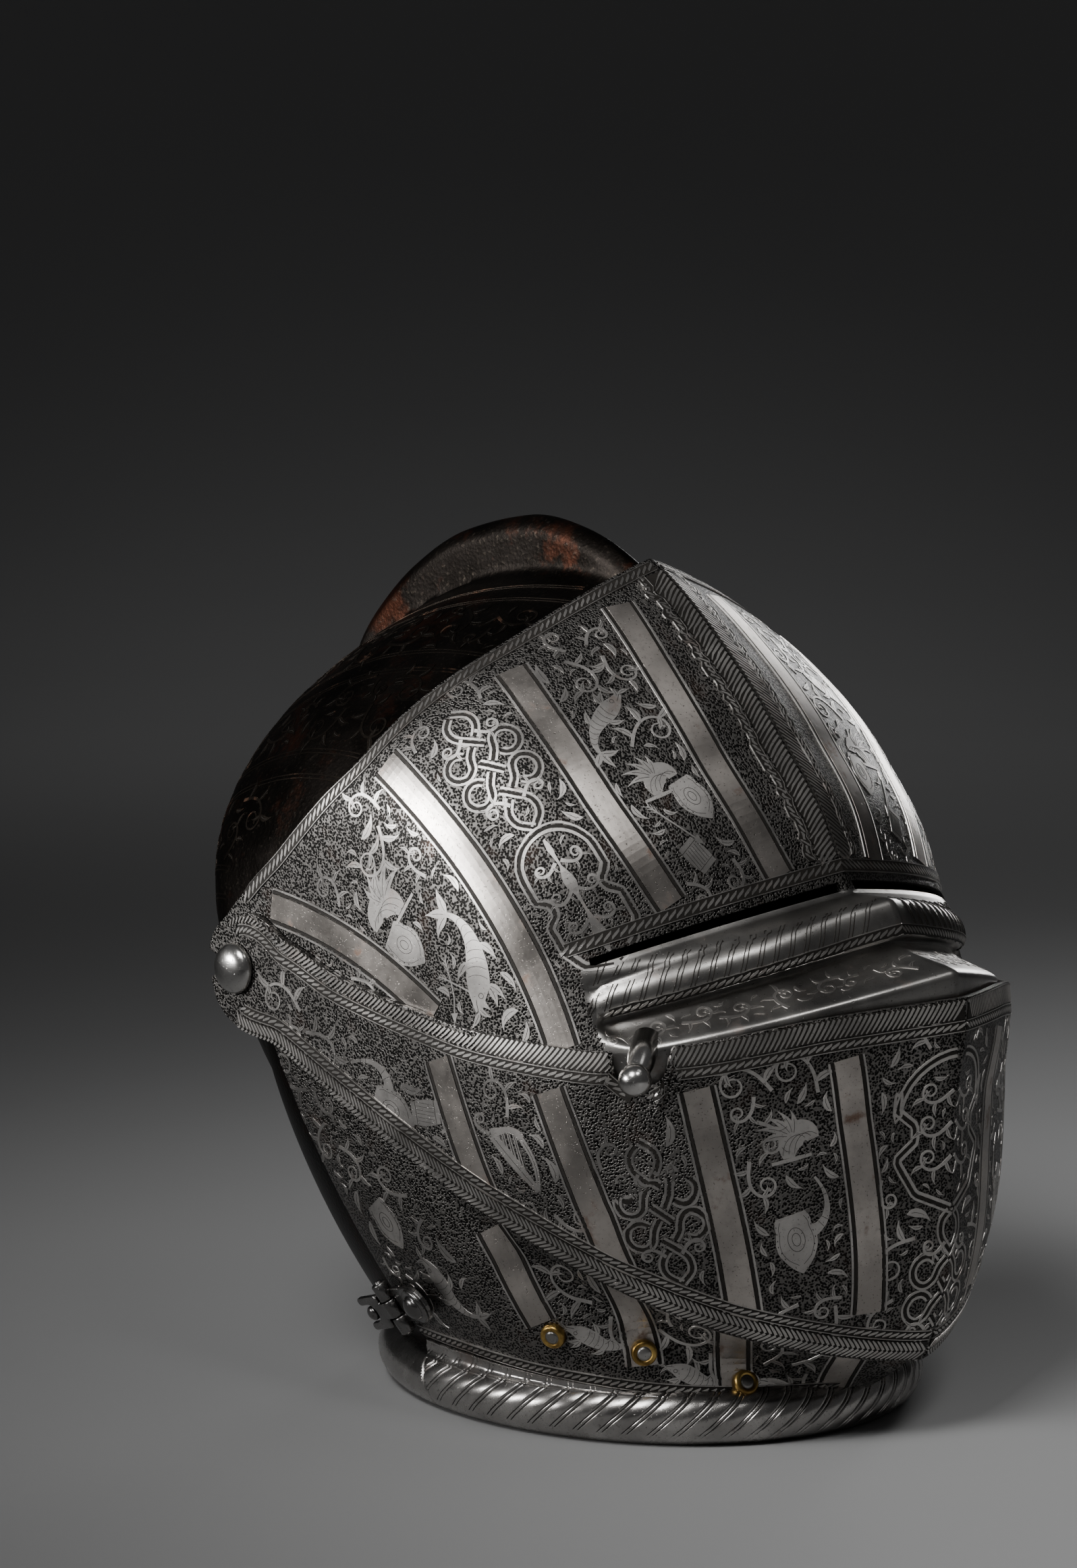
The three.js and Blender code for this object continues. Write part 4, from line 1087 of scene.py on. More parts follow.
class Etcher:
    """Draws ornament on a lane, and keeps count of the half millimetre squares that it has used."""

    def __init__(self, relief, lane, half=None, cover=COVER):
        self.relief = relief
        self.lane = lane
        self.half = half
        self.cover = cover
        self.used = set()

    def line(self, path, width=0.9, kind=BRIGHT, lift=LIFT, closed=False):
        path = np.asarray(path, float)
        width = np.broadcast_to(np.asarray(width, float), len(path))
        inside = np.ones(len(path), bool)
        if self.half:
            inside = np.abs(path[:, 0]) + width / 2 < self.half(path[:, 1]) + self.cover
        if inside.all():
            self.relief.ribbon(self.lane, path, width, kind, lift, closed)
        else:
            for part in parted(np.diff(inside)):
                if inside[part[0]]:
                    self.relief.ribbon(self.lane, path[part], width[part], kind, lift)
        if kind == BRIGHT:
            self.used |= self.squares(path, np.max(width) / 2)

    def squares(self, path, reach):
        """Half millimetre squares within a distance of a path."""
        ring = np.radians(np.arange(0, 360, 45))
        spread = np.stack([np.cos(ring), np.sin(ring)], -1)
        rings = [(path[:, None] + spread * size).reshape(-1, 2) for size in np.arange(reach, 0, -0.6)]
        return set(map(tuple, np.floor(2 * np.concatenate([path] + rings)).astype(int).tolist()))

    def room(self, path, reach):
        """Whether a path has free ground round it, inside the lane's edges."""
        half = self.half(path[:, 1])
        if np.any(np.abs(path[:, 0]) > half - 0.4):
            return False
        return not self.squares(path, reach) & self.used

    def fill(self, low, high, seed, rounds=FILL_ROUNDS, curls=CURL_ROUNDS):
        """Scrolls and then leaves, large ones first, where the ground from low to high is still free."""
        draw = np.random.default_rng(seed)
        for size, tries in curls:
            for _ in range(int(tries * (high - low) / 100)):
                x, y, heading = self.throw(draw, low, high)
                hand = draw.choice((-1, 1))
                if self.room(scroll_stem(x, y, heading, size, hand), 0.2 * size):
                    self.scroll(x, y, heading, size, hand)
        for size, tries in rounds:
            for _ in range(int(tries * (high - low) / 100)):
                x, y, heading = self.throw(draw, low, high)
                turn = draw.choice((-1, 1)) * draw.uniform(40, 110)
                if self.room(bow(x, y, heading, size, turn, 0, 6), 0.17 * size + FILL_GAP):
                    self.leaf(x, y, heading, size, 0.34 * size, turn)

    def throw(self, draw, low, high):
        """A place on the lane and a heading, drawn at random."""
        y = draw.uniform(low, high)
        x = draw.uniform(-1, 1) * float(self.half(y))
        return x, y, draw.uniform(0, 360)

    def cut(self, path, width=CUT_WIDTH, closed=False):
        """Dark line on top of a raised form."""
        self.line(path, width, DARK, CUT_LIFT, closed)

    def shape(self, spine, widths, vein=True):
        """Filled form of changing width round a spine, with a cut line along it."""
        t = np.linspace(0, 1, len(spine))
        width = np.interp(t, np.linspace(0, 1, len(widths)), widths)
        self.line(spine, np.maximum(width, 0.3))
        if vein:
            self.cut(spine[1:-2])

    def leaf(self, x, y, heading, length, width, turn=40):
        spine = bow(x, y, heading, length, turn, 0, 6)
        self.shape(spine, (0.5, 0.8 * width, width, 0.75 * width, 0.35 * width, 0.3))

    def scroll(self, x, y, heading, size, hand=1, leaves=3):
        """Curling stem that ends in a volute, with leaves along its outer side."""
        stem = scroll_stem(x, y, heading, size, hand)
        self.line(stem, np.linspace(1.5, 0.75, len(stem)))
        end = stem[-1]
        self.line(loop(end[0], end[1], 0.2, 0.2, 8), 0.9, closed=True)
        for k in range(leaves):
            i = 3 + 6 * k
            ahead = stem[i + 1] - stem[i]
            course = math.degrees(math.atan2(ahead[1], ahead[0]))
            self.leaf(*stem[i], course - hand * 48, 0.62 * size, 0.2 * size, -hand * 70)
            if k == leaves - 1:
                self.leaf(*stem[i], course + hand * 40, 0.4 * size, 0.15 * size, hand * 60)

    def arrow(self, x, y, heading, length):
        shaft = bow(x, y, heading, length, 0, 0, 6)
        self.line(shaft, 0.8)
        tip = shaft[-1]
        self.line(bow(*tip, heading, 4, 0, 0, 3), (3.4, 2.2, 1.1, 0.3))
        for k in range(3):
            for fan in (-150, 150):
                root = bow(x, y, heading, 1 + 1.5 * k, 0, 0, 2)[-1]
                self.line(bow(*root, heading + fan, 2.2, 0, 0, 2), 0.55)

    def shield(self, x, y, heading, size):
        """Pointed shield with a cut border, a boss and studs."""
        spine = bow(x, y, heading, size, 0, 0, 14)
        widths = np.array((0.5, 0.62, 0.6, 0.66, 0.7, 0.68, 0.6, 0.47, 0.3, 0.04)) * size
        self.shape(spine, widths, False)
        inner = bow(*spine[1], heading, size * 0.78, 0, 0, 14)
        ahead = np.radians(heading)
        side = np.array((-np.sin(ahead), np.cos(ahead)))
        t = np.linspace(0, 1, len(inner))
        border = np.array((0.2, 0.25, 0.245, 0.27, 0.28, 0.27, 0.23, 0.17, 0.04)) * size
        half = np.interp(t, np.linspace(0, 1, len(border)), border)
        for sign in (-1, 1):
            self.cut(inner + sign * half[:, None] * side)
        middle = mix(spine[0], spine[-1], 0.42)
        self.cut(loop(*middle, 0.14 * size, 0.2 * size, 20, heading - 90), 0.4, True)
        self.cut(loop(*middle, 0.07 * size, 0.11 * size, 14, heading - 90), 0.4, True)
        for k in range(6):
            spot = mix(spine[0], spine[-1], 0.12 + 0.11 * k)
            for sign in (-1, 1):
                stud = spot + sign * side * np.interp(k, (0, 3, 5), (0.275, 0.31, 0.24)) * size
                self.cut(bow(*stud, heading, 0.5, 0, 0, 1), 0.5)

    def drum(self, x, y, heading, size):
        """Barrel with hoops and lacing."""
        spine = bow(x, y, heading, size, 0, 0, 8)
        self.shape(spine, np.array((0.62, 0.7, 0.74, 0.7, 0.62)) * size, False)
        ahead = np.radians(heading)
        side = np.array((-np.sin(ahead), np.cos(ahead)))
        for share in (0.16, 0.84):
            spot = mix(spine[0], spine[-1], share)
            self.cut(np.linspace(spot - side * 0.33 * size, spot + side * 0.33 * size, 8), 0.4)
        for k in range(6):
            start = mix(spine[0], spine[-1], 0.2) + side * size * (0.1 * k - 0.3)
            end = mix(spine[0], spine[-1], 0.8) + side * size * (0.1 * k - 0.2)
            self.cut(np.linspace(start, end, 5), 0.28)

    def harp(self, x, y, size):
        neck = bow(x, y, 0, size * 0.78, -35, 120, 18)
        self.shape(neck, np.array((0.24, 0.16, 0.14, 0.16, 0.2)) * size, False)
        foot = np.array((x + size * 0.62, y + size * 1.35))
        pillar = np.linspace(neck[-1], foot, 14)
        pillar[:, 0] += 0.12 * size * np.sin(np.linspace(0, np.pi, 14))
        self.shape(pillar, np.array((0.14, 0.12, 0.12, 0.1)) * size)
        board = np.linspace((x, y), foot, 16)
        self.shape(board, np.array((0.2, 0.24, 0.22, 0.12)) * size)
        for k in range(8):
            share = 0.18 + 0.085 * k
            top = neck[int(share * 18)]
            self.line(np.linspace(top, mix(board[0], board[-1], share), 5), 0.7)
        self.scroll(x - 0.02 * size, y - 0.02 * size, 210, 0.36 * size, 1, 1)

    def dolphin(self, x, y, heading, size, hand=1):
        """Scaled sea beast: curved body, snout, fins and a forked tail."""
        spine = bow(x, y, heading, 1.9 * size, hand * 120, -hand * 170, 26)
        widths = np.array((0.16, 0.3, 0.44, 0.5, 0.48, 0.42, 0.34, 0.27, 0.2, 0.14, 0.1)) * size
        self.shape(spine, widths, False)
        side = sideways(spine)
        t = np.linspace(0, 1, len(spine))
        half = np.interp(t, np.linspace(0, 1, len(widths)), widths) / 2
        for k in range(8, 24, 2):
            arc = np.linspace(-0.8, 0.8, 7)[:, None]
            step = spine[k] - spine[k - 1]
            self.cut(spine[k] + side[k] * half[k] * arc + step * 0.9 * (1 - arc ** 2), 0.3)
        eye = spine[4] + side[4] * half[4] * 0.35
        self.cut(loop(*eye, 0.05 * size, 0.05 * size, 10), 0.4, True)
        self.cut(spine[:4] - side[:4] * half[:4, None] * 0.25, 0.4)
        course = lambda k: math.degrees(math.atan2(*(spine[k] - spine[k - 1])[::-1]))
        self.leaf(*spine[0], course(1) + 205, 0.36 * size, 0.14 * size, 30)
        self.leaf(*spine[1], course(1) + 150, 0.3 * size, 0.12 * size, -40)
        for k, fan in ((7, 125), (7, 95), (12, -120), (16, 120)):
            edge = spine[k] + side[k] * half[k] * (0.8 if fan > 0 else -0.8)
            self.leaf(*edge, course(k) + fan, 0.42 * size, 0.17 * size, 40 if fan > 0 else -40)
        for fan in (-55, -15, 30):
            self.leaf(*spine[-1], course(25) + fan, 0.5 * size, 0.2 * size, fan)

    def helmet(self, x, y, size, hand=1):
        """Crested helmet with a plume, seen from the side."""
        dome = bow(x, y, 270, 1.1 * size, hand * 60, hand * 120, 16)
        self.shape(dome, np.array((0.28, 0.5, 0.62, 0.6, 0.5, 0.3)) * size, False)
        for off in (-0.14, 0, 0.14):
            self.cut(dome[2:-2] + (off * size, 0.05 * size), 0.32)
        brim = bow(x - 0.42 * hand * size, y + 0.05 * size, 90 - 90 * hand, 0.95 * size, 0, 0, 6)
        self.shape(brim, (1.2, 1.6, 1.2), False)
        for k, fan in enumerate((-150, -128, -104, -80, -56)):
            heading = fan if hand > 0 else 180 - fan
            self.leaf(*dome[7], heading, (0.9 - 0.08 * abs(k - 1)) * size, 0.2 * size, -hand * 55)

    def horn(self, x, y, heading, size, hand=1):
        tube = bow(x, y, heading, 1.7 * size, hand * 40, hand * 90, 20)
        self.shape(tube, np.array((0.08, 0.1, 0.14, 0.19, 0.27, 0.42)) * size, False)
        for k in (4, 6, 13, 15):
            ahead = tube[k + 1] - tube[k]
            side = np.array((-ahead[1], ahead[0])) / np.linalg.norm(ahead)
            self.cut(np.linspace(tube[k] - side * 0.1 * size, tube[k] + side * 0.1 * size, 4), 0.35)


STRAP = 3.2
RAIL = 1.05
CLEAR = 0.3


def crossings(p, q, same):
    """Places along two paths where they cross: positions on each and the sine of the angle between them."""
    a, b = p[:-1], np.diff(p, axis=0)
    c, d = q[:-1], np.diff(q, axis=0)
    turn = b[:, None, 0] * d[None, :, 1] - b[:, None, 1] * d[None, :, 0]
    gap = c[None] - a[:, None]
    safe = np.where(np.abs(turn) < 1e-9, 1e-9, turn)
    s = (gap[..., 0] * d[None, :, 1] - gap[..., 1] * d[None, :, 0]) / safe
    t = (gap[..., 0] * b[:, None, 1] - gap[..., 1] * b[:, None, 0]) / safe
    hit = (s >= 0) & (s < 1) & (t >= 0) & (t < 1) & (np.abs(turn) > 1e-9)
    size = np.linalg.norm(b, axis=1)[:, None] * np.linalg.norm(d, axis=1)[None]
    found = []
    for i, j in np.argwhere(hit):
        if same and (j - i < 3 or (i == 0 and j >= len(d) - 2)):
            continue
        found.append((i + s[i, j], j + t[i, j], abs(turn[i, j]) / size[i, j]))
    return found


def interlace(etcher, paths, strap=STRAP, rail=RAIL):
    """Double-railed straps that pass over and under each other in turn."""
    meets = [[] for _ in paths]
    over = {}
    for i, p in enumerate(paths):
        for j in range(i, len(paths)):
            for s, t, sine in crossings(p, paths[j], i == j):
                key = len(over)
                over[key] = None
                meets[i].append((s, key, sine))
                meets[j].append((t, key, sine))
    for i, p in enumerate(paths):
        run = walk(p)
        gaps = []
        state = True
        for s, key, sine in sorted(meets[i]):
            if over[key] is None:
                over[key] = state
            else:
                state = not over[key]
            if not state:
                at = np.interp(s, np.arange(len(p)), run)
                reach = (strap / 2 + CLEAR) / max(sine, 0.6)
                gaps.append((at - reach, at + reach))
            state = not state
        side = sideways(p)
        hidden = np.zeros(len(p), bool)
        for low, high in gaps:
            hidden |= (run > low) & (run < high)
        for part in parted(np.diff(hidden)):
            if hidden[part[0]] or len(part) < 3:
                continue
            for sign in (-1, 1):
                etcher.line(p[part] + sign * side[part] * (strap - rail) / 2, rail)
            etcher.line(p[part], strap - 2 * rail, DARK, CORE_LIFT)


def through(points, count=12):
    """Smooth path through points."""
    points = np.asarray(points, float)
    held = np.concatenate([[2 * points[0] - points[1]], points, [2 * points[-1] - points[-2]]])
    t = np.linspace(0, 1, count, endpoint=False)[:, None]
    parts = []
    for a, b, c, d in zip(held, held[1:], held[2:], held[3:]):
        bend = (2 * a - 5 * b + 4 * c - d) * t ** 2 + (3 * b - a - 3 * c + d) * t ** 3
        parts.append(0.5 * (2 * b + (c - a) * t + bend))
    return np.concatenate(parts + [points[-1:]])


def frame_pair(etcher, path, gap=2.3, inner=1.0, outer=1.3):
    """Double line round a cartouche."""
    side = sideways(path)
    etcher.line(path + side * gap / 2, outer)
    etcher.line(path - side * gap / 2, inner)
    etcher.line(path, gap - (inner + outer) / 2, DARK, CORE_LIFT)


def straight(x, along):
    """Path along a lane at a distance from its middle."""
    return np.stack([np.full_like(along, x), along], -1)


EDGE_STEP = 2.0
EDGE_RAIL = 0.5


def rope(etcher, x, width, pitch, start=0, end=None):
    """Two thin lines with slanted S strokes between them."""
    end = etcher.lane.length if end is None else end
    along = np.arange(start, end, EDGE_STEP)
    etcher.line(straight(x, along), width, DARK, EDGE_CORE)
    for sign in (-1, 1):
        etcher.line(straight(x + sign * width / 2, along), EDGE_RAIL, lift=EDGE_LIFT)
    t = np.linspace(-1, 1, 5)
    for y in np.arange(start + pitch / 2, end, pitch):
        stroke = np.stack([x + t * (width / 2 - 0.75), y + pitch * 0.62 * np.sin(t * 1.35)], -1)
        etcher.line(stroke, (0.5, 1.0, 1.15, 1.0, 0.5), lift=EDGE_LIFT)


BARB = 1.1


def feather(etcher, x0, x1, slope, pitch, start, end=None):
    """Slanted barbs between two lines."""
    end = etcher.lane.length if end is None else end
    along = np.arange(start, end, EDGE_STEP)
    etcher.line(straight((x0 + x1) / 2, along), abs(x1 - x0) + 0.6, DARK, EDGE_CORE)
    t = np.linspace(0, 1, 4)
    for y in np.arange(start, end, pitch):
        stroke = np.stack([x0 + (x1 - x0) * t, y + slope * (t + 0.25 * t * t)], -1)
        etcher.line(stroke, (BARB, BARB, BARB * 0.9, BARB * 0.6), lift=EDGE_LIFT)


BAND_WIDTH = 8.6
BAND_LINE = 0.95
BAND_GAP = 1.15
BAND_REACH = BAND_WIDTH / 2 + BAND_GAP + BAND_LINE
BAND_STEP = 2.5


def plain_band(etcher, start):
    """Plain polished band between two thin lines."""
    along = np.arange(start, etcher.lane.length, BAND_STEP)
    etcher.line(straight(0, along), BAND_WIDTH, WIDE, OVER_LIFT)
    for sign in (-1, 1):
        border = straight(sign * (BAND_WIDTH / 2 + BAND_GAP + BAND_LINE / 2), along)
        etcher.line(border, BAND_LINE, lift=OVER_LIFT)
        etcher.line(straight(sign * (BAND_WIDTH + BAND_GAP) / 2, along), BAND_GAP, DARK, OVER_CORE)


visor_face = Plate(visor_spots, visor_slit)
upper_face = Plate(upper_spots)
lower_face = Plate(lower_spots)
skull_face = Plate(skull_spots)

# Middle lines of the plain bands on the right side, from the rear or upper edge of each plate downward
VISOR_BANDS = (
    ((-22.5, -11.0, 268.5), (-28.8, -57.8, 223.3), (-23.5, -87.0, 182.0)),
    ((-65.8, -4.2, 249.1), (-70.2, -47.2, 213.0), (-61.6, -75.8, 175.0)),
    ((-100.2, 18.5, 219.6), (-102.0, -32.3, 182.3), (-97.5, -62.1, 132.6)),
    ((-107.9, 66.6, 166.8), (-107.9, 22.7, 157.4), (-106.2, -15.3, 138.2)),
)
UPPER_BANDS = (
    ((-109.6, -19.0, 126.1), (-106.5, -29.0, 100.0), (-100.1, -38.0, 75.5)),
    ((-102.7, -60.7, 120.6), (-93.0, -70.0, 88.0), (-78.2, -75.5, 57.6)),
    ((-77.7, -100.1, 123.0), (-68.0, -103.0, 84.0), (-53.1, -98.9, 46.4)),
    ((-38.4, -127.3, 130.8), (-31.0, -129.0, 90.0), (-23.6, -123.0, 47.4)),
)
LOWER_BANDS = (
    ((-91.3, -25.3, 70.0), (-81.4, -39.1, 38.0)),
    ((-70.4, -63.7, 60.0), (-62.4, -65.1, 26.0)),
    ((-45.6, -88.5, 45.0), (-39.0, -80.8, 16.0)),
    ((-18.0, -116.0, 38.0), (-9.5, -93.4, 11.0)),
)
SKULL_BANDS = (
    ((-20.0, 8.0, 276.0), (-24.0, 60.0, 262.0), (-22.0, 110.0, 232.0)),
    ((-62.0, 12.0, 254.0), (-60.0, 70.0, 243.0), (-52.0, 118.0, 212.0)),
    ((-96.0, 40.0, 215.0), (-88.0, 85.0, 210.0), (-70.0, 122.0, 185.0)),
    ((-102.0, 92.0, 170.0), (-94.0, 115.0, 165.0), (-74.0, 134.0, 150.0)),
)
# Middle lines of the ground behind the last bands, with half widths at their ends
VISOR_TAIL = ((-107.9, 52.0, 152.0), (-107.9, 26.0, 145.0), (-107.0, 8.0, 138.0), 3, 6)
UPPER_TAIL = ((-110.6, 52.0, 132.0), (-110.0, 16.0, 114.0), (-107.0, -16.0, 96.0), 9, 17)
LOWER_TAIL = ((-104.5, 54.0, 106.0), (-100.0, 20.0, 72.0), (-88.0, 2.0, 42.0), 8, 22)


# How often a panel's middle line is drawn between its bands, and how often it is smoothed each time
CENTRING = 2
CENTRING_ROUNDS = 40


def nearest(line, places):
    return line[np.linalg.norm(places[:, None] - line, axis=2).argmin(1)]


class Panel(Etcher):
    """Ground between two bands, on a lane as far from one as from the other."""

    def __init__(self, relief, face, first, second):
        one, two = smooth_line(first), smooth_line(second)
        middle = (one + two) / 2
        for _ in range(CENTRING):
            middle = (nearest(one, middle) + nearest(two, middle)) / 2
            for _ in range(CENTRING_ROUNDS):
                middle[1:-1] = (middle[:-2] + 2 * middle[1:-1] + middle[2:]) / 4
        lane = Lane(face, middle)
        gaps = [np.linalg.norm(nearest(line, middle) - middle, axis=1) for line in (one, two)]
        free = np.minimum(*gaps) - BAND_REACH
        at = walk(middle)
        at *= lane.length / at[-1]
        super().__init__(relief, lane, lambda y: np.interp(y, at, free))


class Strip(Etcher):
    """Ground along a line of its own, with a half width at each end."""

    def __init__(self, relief, face, row):
        *points, start, end = row
        lane = Lane(face, smooth_line(points))
        super().__init__(relief, lane, lambda y: np.interp(y, (0, lane.length), (start, end)))


def half_of(spots, hand=1):
    """One side of a plate, from the middle outward: the right one, or the left one where hand is -1."""
    middle = spots.shape[1] // 2
    return spots[:, middle - 1::-1] if hand > 0 else spots[:, middle:]


def edge_line(spots, distance, hand=1):
    """Line at a distance inside the first row of a plate, on one side."""
    half = half_of(spots, hand)
    return np.array([at_distance(half[:, column], distance) for column in range(half.shape[1])])


def row_line(spots, rows, value, width):
    """Line along a plate's row at a value, from the middle out to a half width."""
    line = half_of(spots)[np.argmin(np.abs(rows - value))]
    return line[np.abs(line[:, 0]) <= width]


def neck_line(spots, rows, distance):
    """Line round the neck at a distance from its edge, over the rows that end on the neck."""
    ends = [row for row, (_, turn) in enumerate(rows) if turn is not None]
    return np.array([at_distance(strip, distance) for strip in half_of(spots)[ends]])


# Half of the strapwork knot, in sixteenths of its half width: one strap from its head to its middle
KNOT = (
    (0, -28), (4.6, -23.5), (4.6, -18), (0, -12.5), (-4.2, -8), (-6.2, -3.2), (-9.6, -1.4), (-13.2, -3),
    (-14.7, -6.6), (-13.2, -10.2), (-9.6, -11.8), (-6.2, -10), (-4.2, -5.4), (0, 0),
)


def knot(panel, x, y, size):
    """Strapwork knot: two straps that cross, and loop twice on each side."""
    half = np.array(KNOT) * size / 16
    strap = through(np.concatenate([half, -half[-2::-1]]))
    interlace(panel, [strap + (x, y), strap * (-1, 1) + (x, y)])
    for side in (-1, 1):
        for end in (-1, 1):
            heading = 90 - 90 * side - 50 * side * end
            panel.scroll(x + side * 0.18 * size, y + end * 1.02 * size, heading, 0.42 * size, side * end, 3)


def cartouche(panel, x, low, high, half):
    """Frame with an arched head and stepped shoulders, round a candelabrum of leaves."""
    mid = (low + high) / 2
    turn = np.radians(np.linspace(0, 90, 9))
    head = np.stack([x + half * np.sin(turn), low + half * (1 - np.cos(turn))], -1)
    step = 0.3 * half
    side = np.array((
        (x + half, mid - 2.2 * step), (x + half, mid - 1.2 * step), (x + half - step, mid - 0.4 * step),
        (x + half - step, mid + 0.4 * step), (x + half, mid + 1.2 * step), (x + half, high - 0.8 * half),
        (x + 0.7 * half, high - 0.3 * half), (x, high),
    ))
    right = np.concatenate([head, side])
    right = at_distance(right, np.arange(0, walk(right)[-1], 1.5))
    left = right * (-1, 1) + (2 * x, 0)
    frame_pair(panel, np.concatenate([left[::-1], right[1:]]))
    panel.shape(bow(x, low + 0.25 * half, 90, high - low - 0.6 * half, 0, 0, 20),
                (0.8, 2.4, 1.2, 1.0, 3.6, 4.4, 1.6, 1.0, 1.4, 3.0, 5.0, 3.2, 1.0), False)
    for share in (0.24, 0.45, 0.66):
        y = low + (high - low) * share
        for sign in (-1, 1):
            panel.scroll(x + sign, y, 90 - 50 * sign, 0.42 * half, -sign, 3)


def etch_bands(relief, face, bands, start=0):
    for band in bands:
        plain_band(Etcher(relief, Lane(face, smooth_line(band))), start)


ROLL_CUTS = (-13, 2.6)
ROLL_CUT_LEAN = 9
ROLL_CUT_PITCH = 5.6
ROLL_CUT_PAIR = (0, 1.5)
ROLL_CUT_WIDTH = 0.55
EAR_SPARE = 26
HOLLOW_HALF = 6
HOLLOW_CURLS = ((8, 300), (5.5, 400))
HOLLOW_LEAVES = ((5, 400), (3.5, 600))


def etch_visor():
    relief = Relief()
    etch_bands(relief, visor_face, VISOR_BANDS, 6.5)
    row = lambda value, width: Lane(visor_face, row_line(visor_spots, VISOR_ROWS, value, width))
    rear = Etcher(relief, Lane(visor_face, edge_line(visor_spots, 3.6)))
    rope(rear, 0, 4.2, 2.6, 2, rear.lane.length - 30)
    ridge = Etcher(relief, Lane(visor_face, visor_spots[VISOR_ROWS > 14.2, visor_spots.shape[1] // 2]))
    feather(ridge, -0.9, -8.6, 4.2, 1.9, 7)
    rope(ridge, -11.4, 3.4, 2.4, 6)
    rope(Etcher(relief, row(13.4, 93)), 0, 4.2, 2.8)
    rope(Etcher(relief, row(6.8, 88)), 0, 3.4, 2.8)
    roll = Etcher(relief, row(8.1, 89))
    for y in np.arange(4, roll.lane.length - 4, ROLL_CUT_PITCH):
        for off in ROLL_CUT_PAIR:
            cut = np.linspace((ROLL_CUTS[0], y + off), (ROLL_CUTS[1], y + off + ROLL_CUT_LEAN), 14)
            roll.cut(cut, ROLL_CUT_WIDTH)
    hollow = Etcher(relief, row(3.9, 86), lambda y: HOLLOW_HALF + 0 * y)
    hollow.fill(4, hollow.lane.length - 2, 15, HOLLOW_LEAVES, HOLLOW_CURLS)
    upper = Panel(relief, visor_face, VISOR_BANDS[0], VISOR_BANDS[1])
    upper.scroll(-6, 12, 40, 11, 1, 4)
    upper.scroll(7, 14, 100, 10, -1, 4)
    upper.dolphin(4, 30, 130, 14, 1)
    upper.helmet(-3, 68, 13, 1)
    upper.shield(6, 66, 80, 17)
    upper.arrow(-9, 70, 62, 18)
    upper.drum(-5, 86, 70, 11)
    upper.fill(8, upper.lane.length - 3, 11)
    middle = Panel(relief, visor_face, VISOR_BANDS[1], VISOR_BANDS[2])
    knot(middle, 0, 33, 14.5)
    cartouche(middle, 0, 60, 109, 13)
    middle.fill(8, middle.lane.length - 1, 12)
    lower = Panel(relief, visor_face, VISOR_BANDS[2], VISOR_BANDS[3])
    lower.scroll(13, 14, 130, 13, 1, 5)
    lower.helmet(-4, 36, 17, -1)
    lower.dolphin(-3, 82, 285, 18, 1)
    lower.shield(-14, 36, 80, 19)
    lower.arrow(-4, 60, 115, 20)
    lower.arrow(-10, 62, 62, 20)
    lower.fill(8, lower.lane.length + 14, 13)
    last = Strip(relief, visor_face, VISOR_TAIL)
    last.fill(0, last.lane.length, 14)
    return relief


def etch_top_edge(hand):
    """Feathers and rope along the upper edge of the upper bevor, straight past the notch."""
    relief = Relief()
    line = edge_line(upper_spots, 4.0, -1) * (-hand, 1, 1)
    top = Etcher(relief, Lane(upper_face, line, hand))
    end = top.lane.length - EAR_SPARE
    feather(top, -3.2, 2.6, 3.4, 1.8, 1, end)
    rope(top, 5.0, 3.4, 2.6, 1, end)
    return relief


def etch_upper():
    relief = Relief()
    etch_bands(relief, upper_face, UPPER_BANDS)
    low = Etcher(relief, Lane(upper_face, edge_line(upper_spots[::-1], 4.4)))
    end = low.lane.length - EAR_SPARE
    feather(low, 0.2, 3.4, 2.6, 1.8, 1, end)
    feather(low, -0.2, -3.4, 2.6, 1.8, 1, end)
    rope(low, -6.0, 3.4, 2.6, 1, end)
    tail = Strip(relief, upper_face, UPPER_TAIL)
    tail.scroll(0, 12, 60, 12, 1, 4)
    tail.horn(3, 34, 40, 14, 1)
    tail.shield(-1, 48, 80, 19)
    tail.drum(5, 64, 50, 12)
    tail.fill(0, tail.lane.length, 24)
    panels = [Panel(relief, upper_face, one, two) for one, two in zip(UPPER_BANDS, UPPER_BANDS[1:])]
    first, second, third = panels
    first.harp(-7, 10, 16)
    first.scroll(5, 40, 60, 9, -1, 4)
    first.scroll(-6, 44, 100, 8, 1, 4)
    knot(second, 0, 36, 14)
    third.helmet(0, 26, 14, 1)
    third.shield(-3, 44, 85, 20)
    third.horn(7, 34, 60, 13, 1)
    third.scroll(-8, 12, 30, 9, 1, 4)
    for k, panel in enumerate(panels):
        panel.fill(12 if panel is second else 1, panel.lane.length - 2, 21 + k)
    return relief


KEEL_HALF = 14
KEEL_COVER = 0.2


def etch_keel():
    """Half of a cartouche and a knot that meet their mirror images at the keel of the upper bevor."""
    relief = Relief()
    half = half_of(upper_spots)
    column = np.argmin(np.abs(walk(half[len(half) // 2 - 2]) - KEEL_HALF))
    line = half[6:-8, column]
    keel = Etcher(relief, Lane(upper_face, line), lambda y: KEEL_HALF + 0 * y, KEEL_COVER)
    cartouche(keel, KEEL_HALF, 8, 60, 21)
    knot(keel, KEEL_HALF, 85, 15)
    keel.fill(6, keel.lane.length - 6, 27)
    return relief


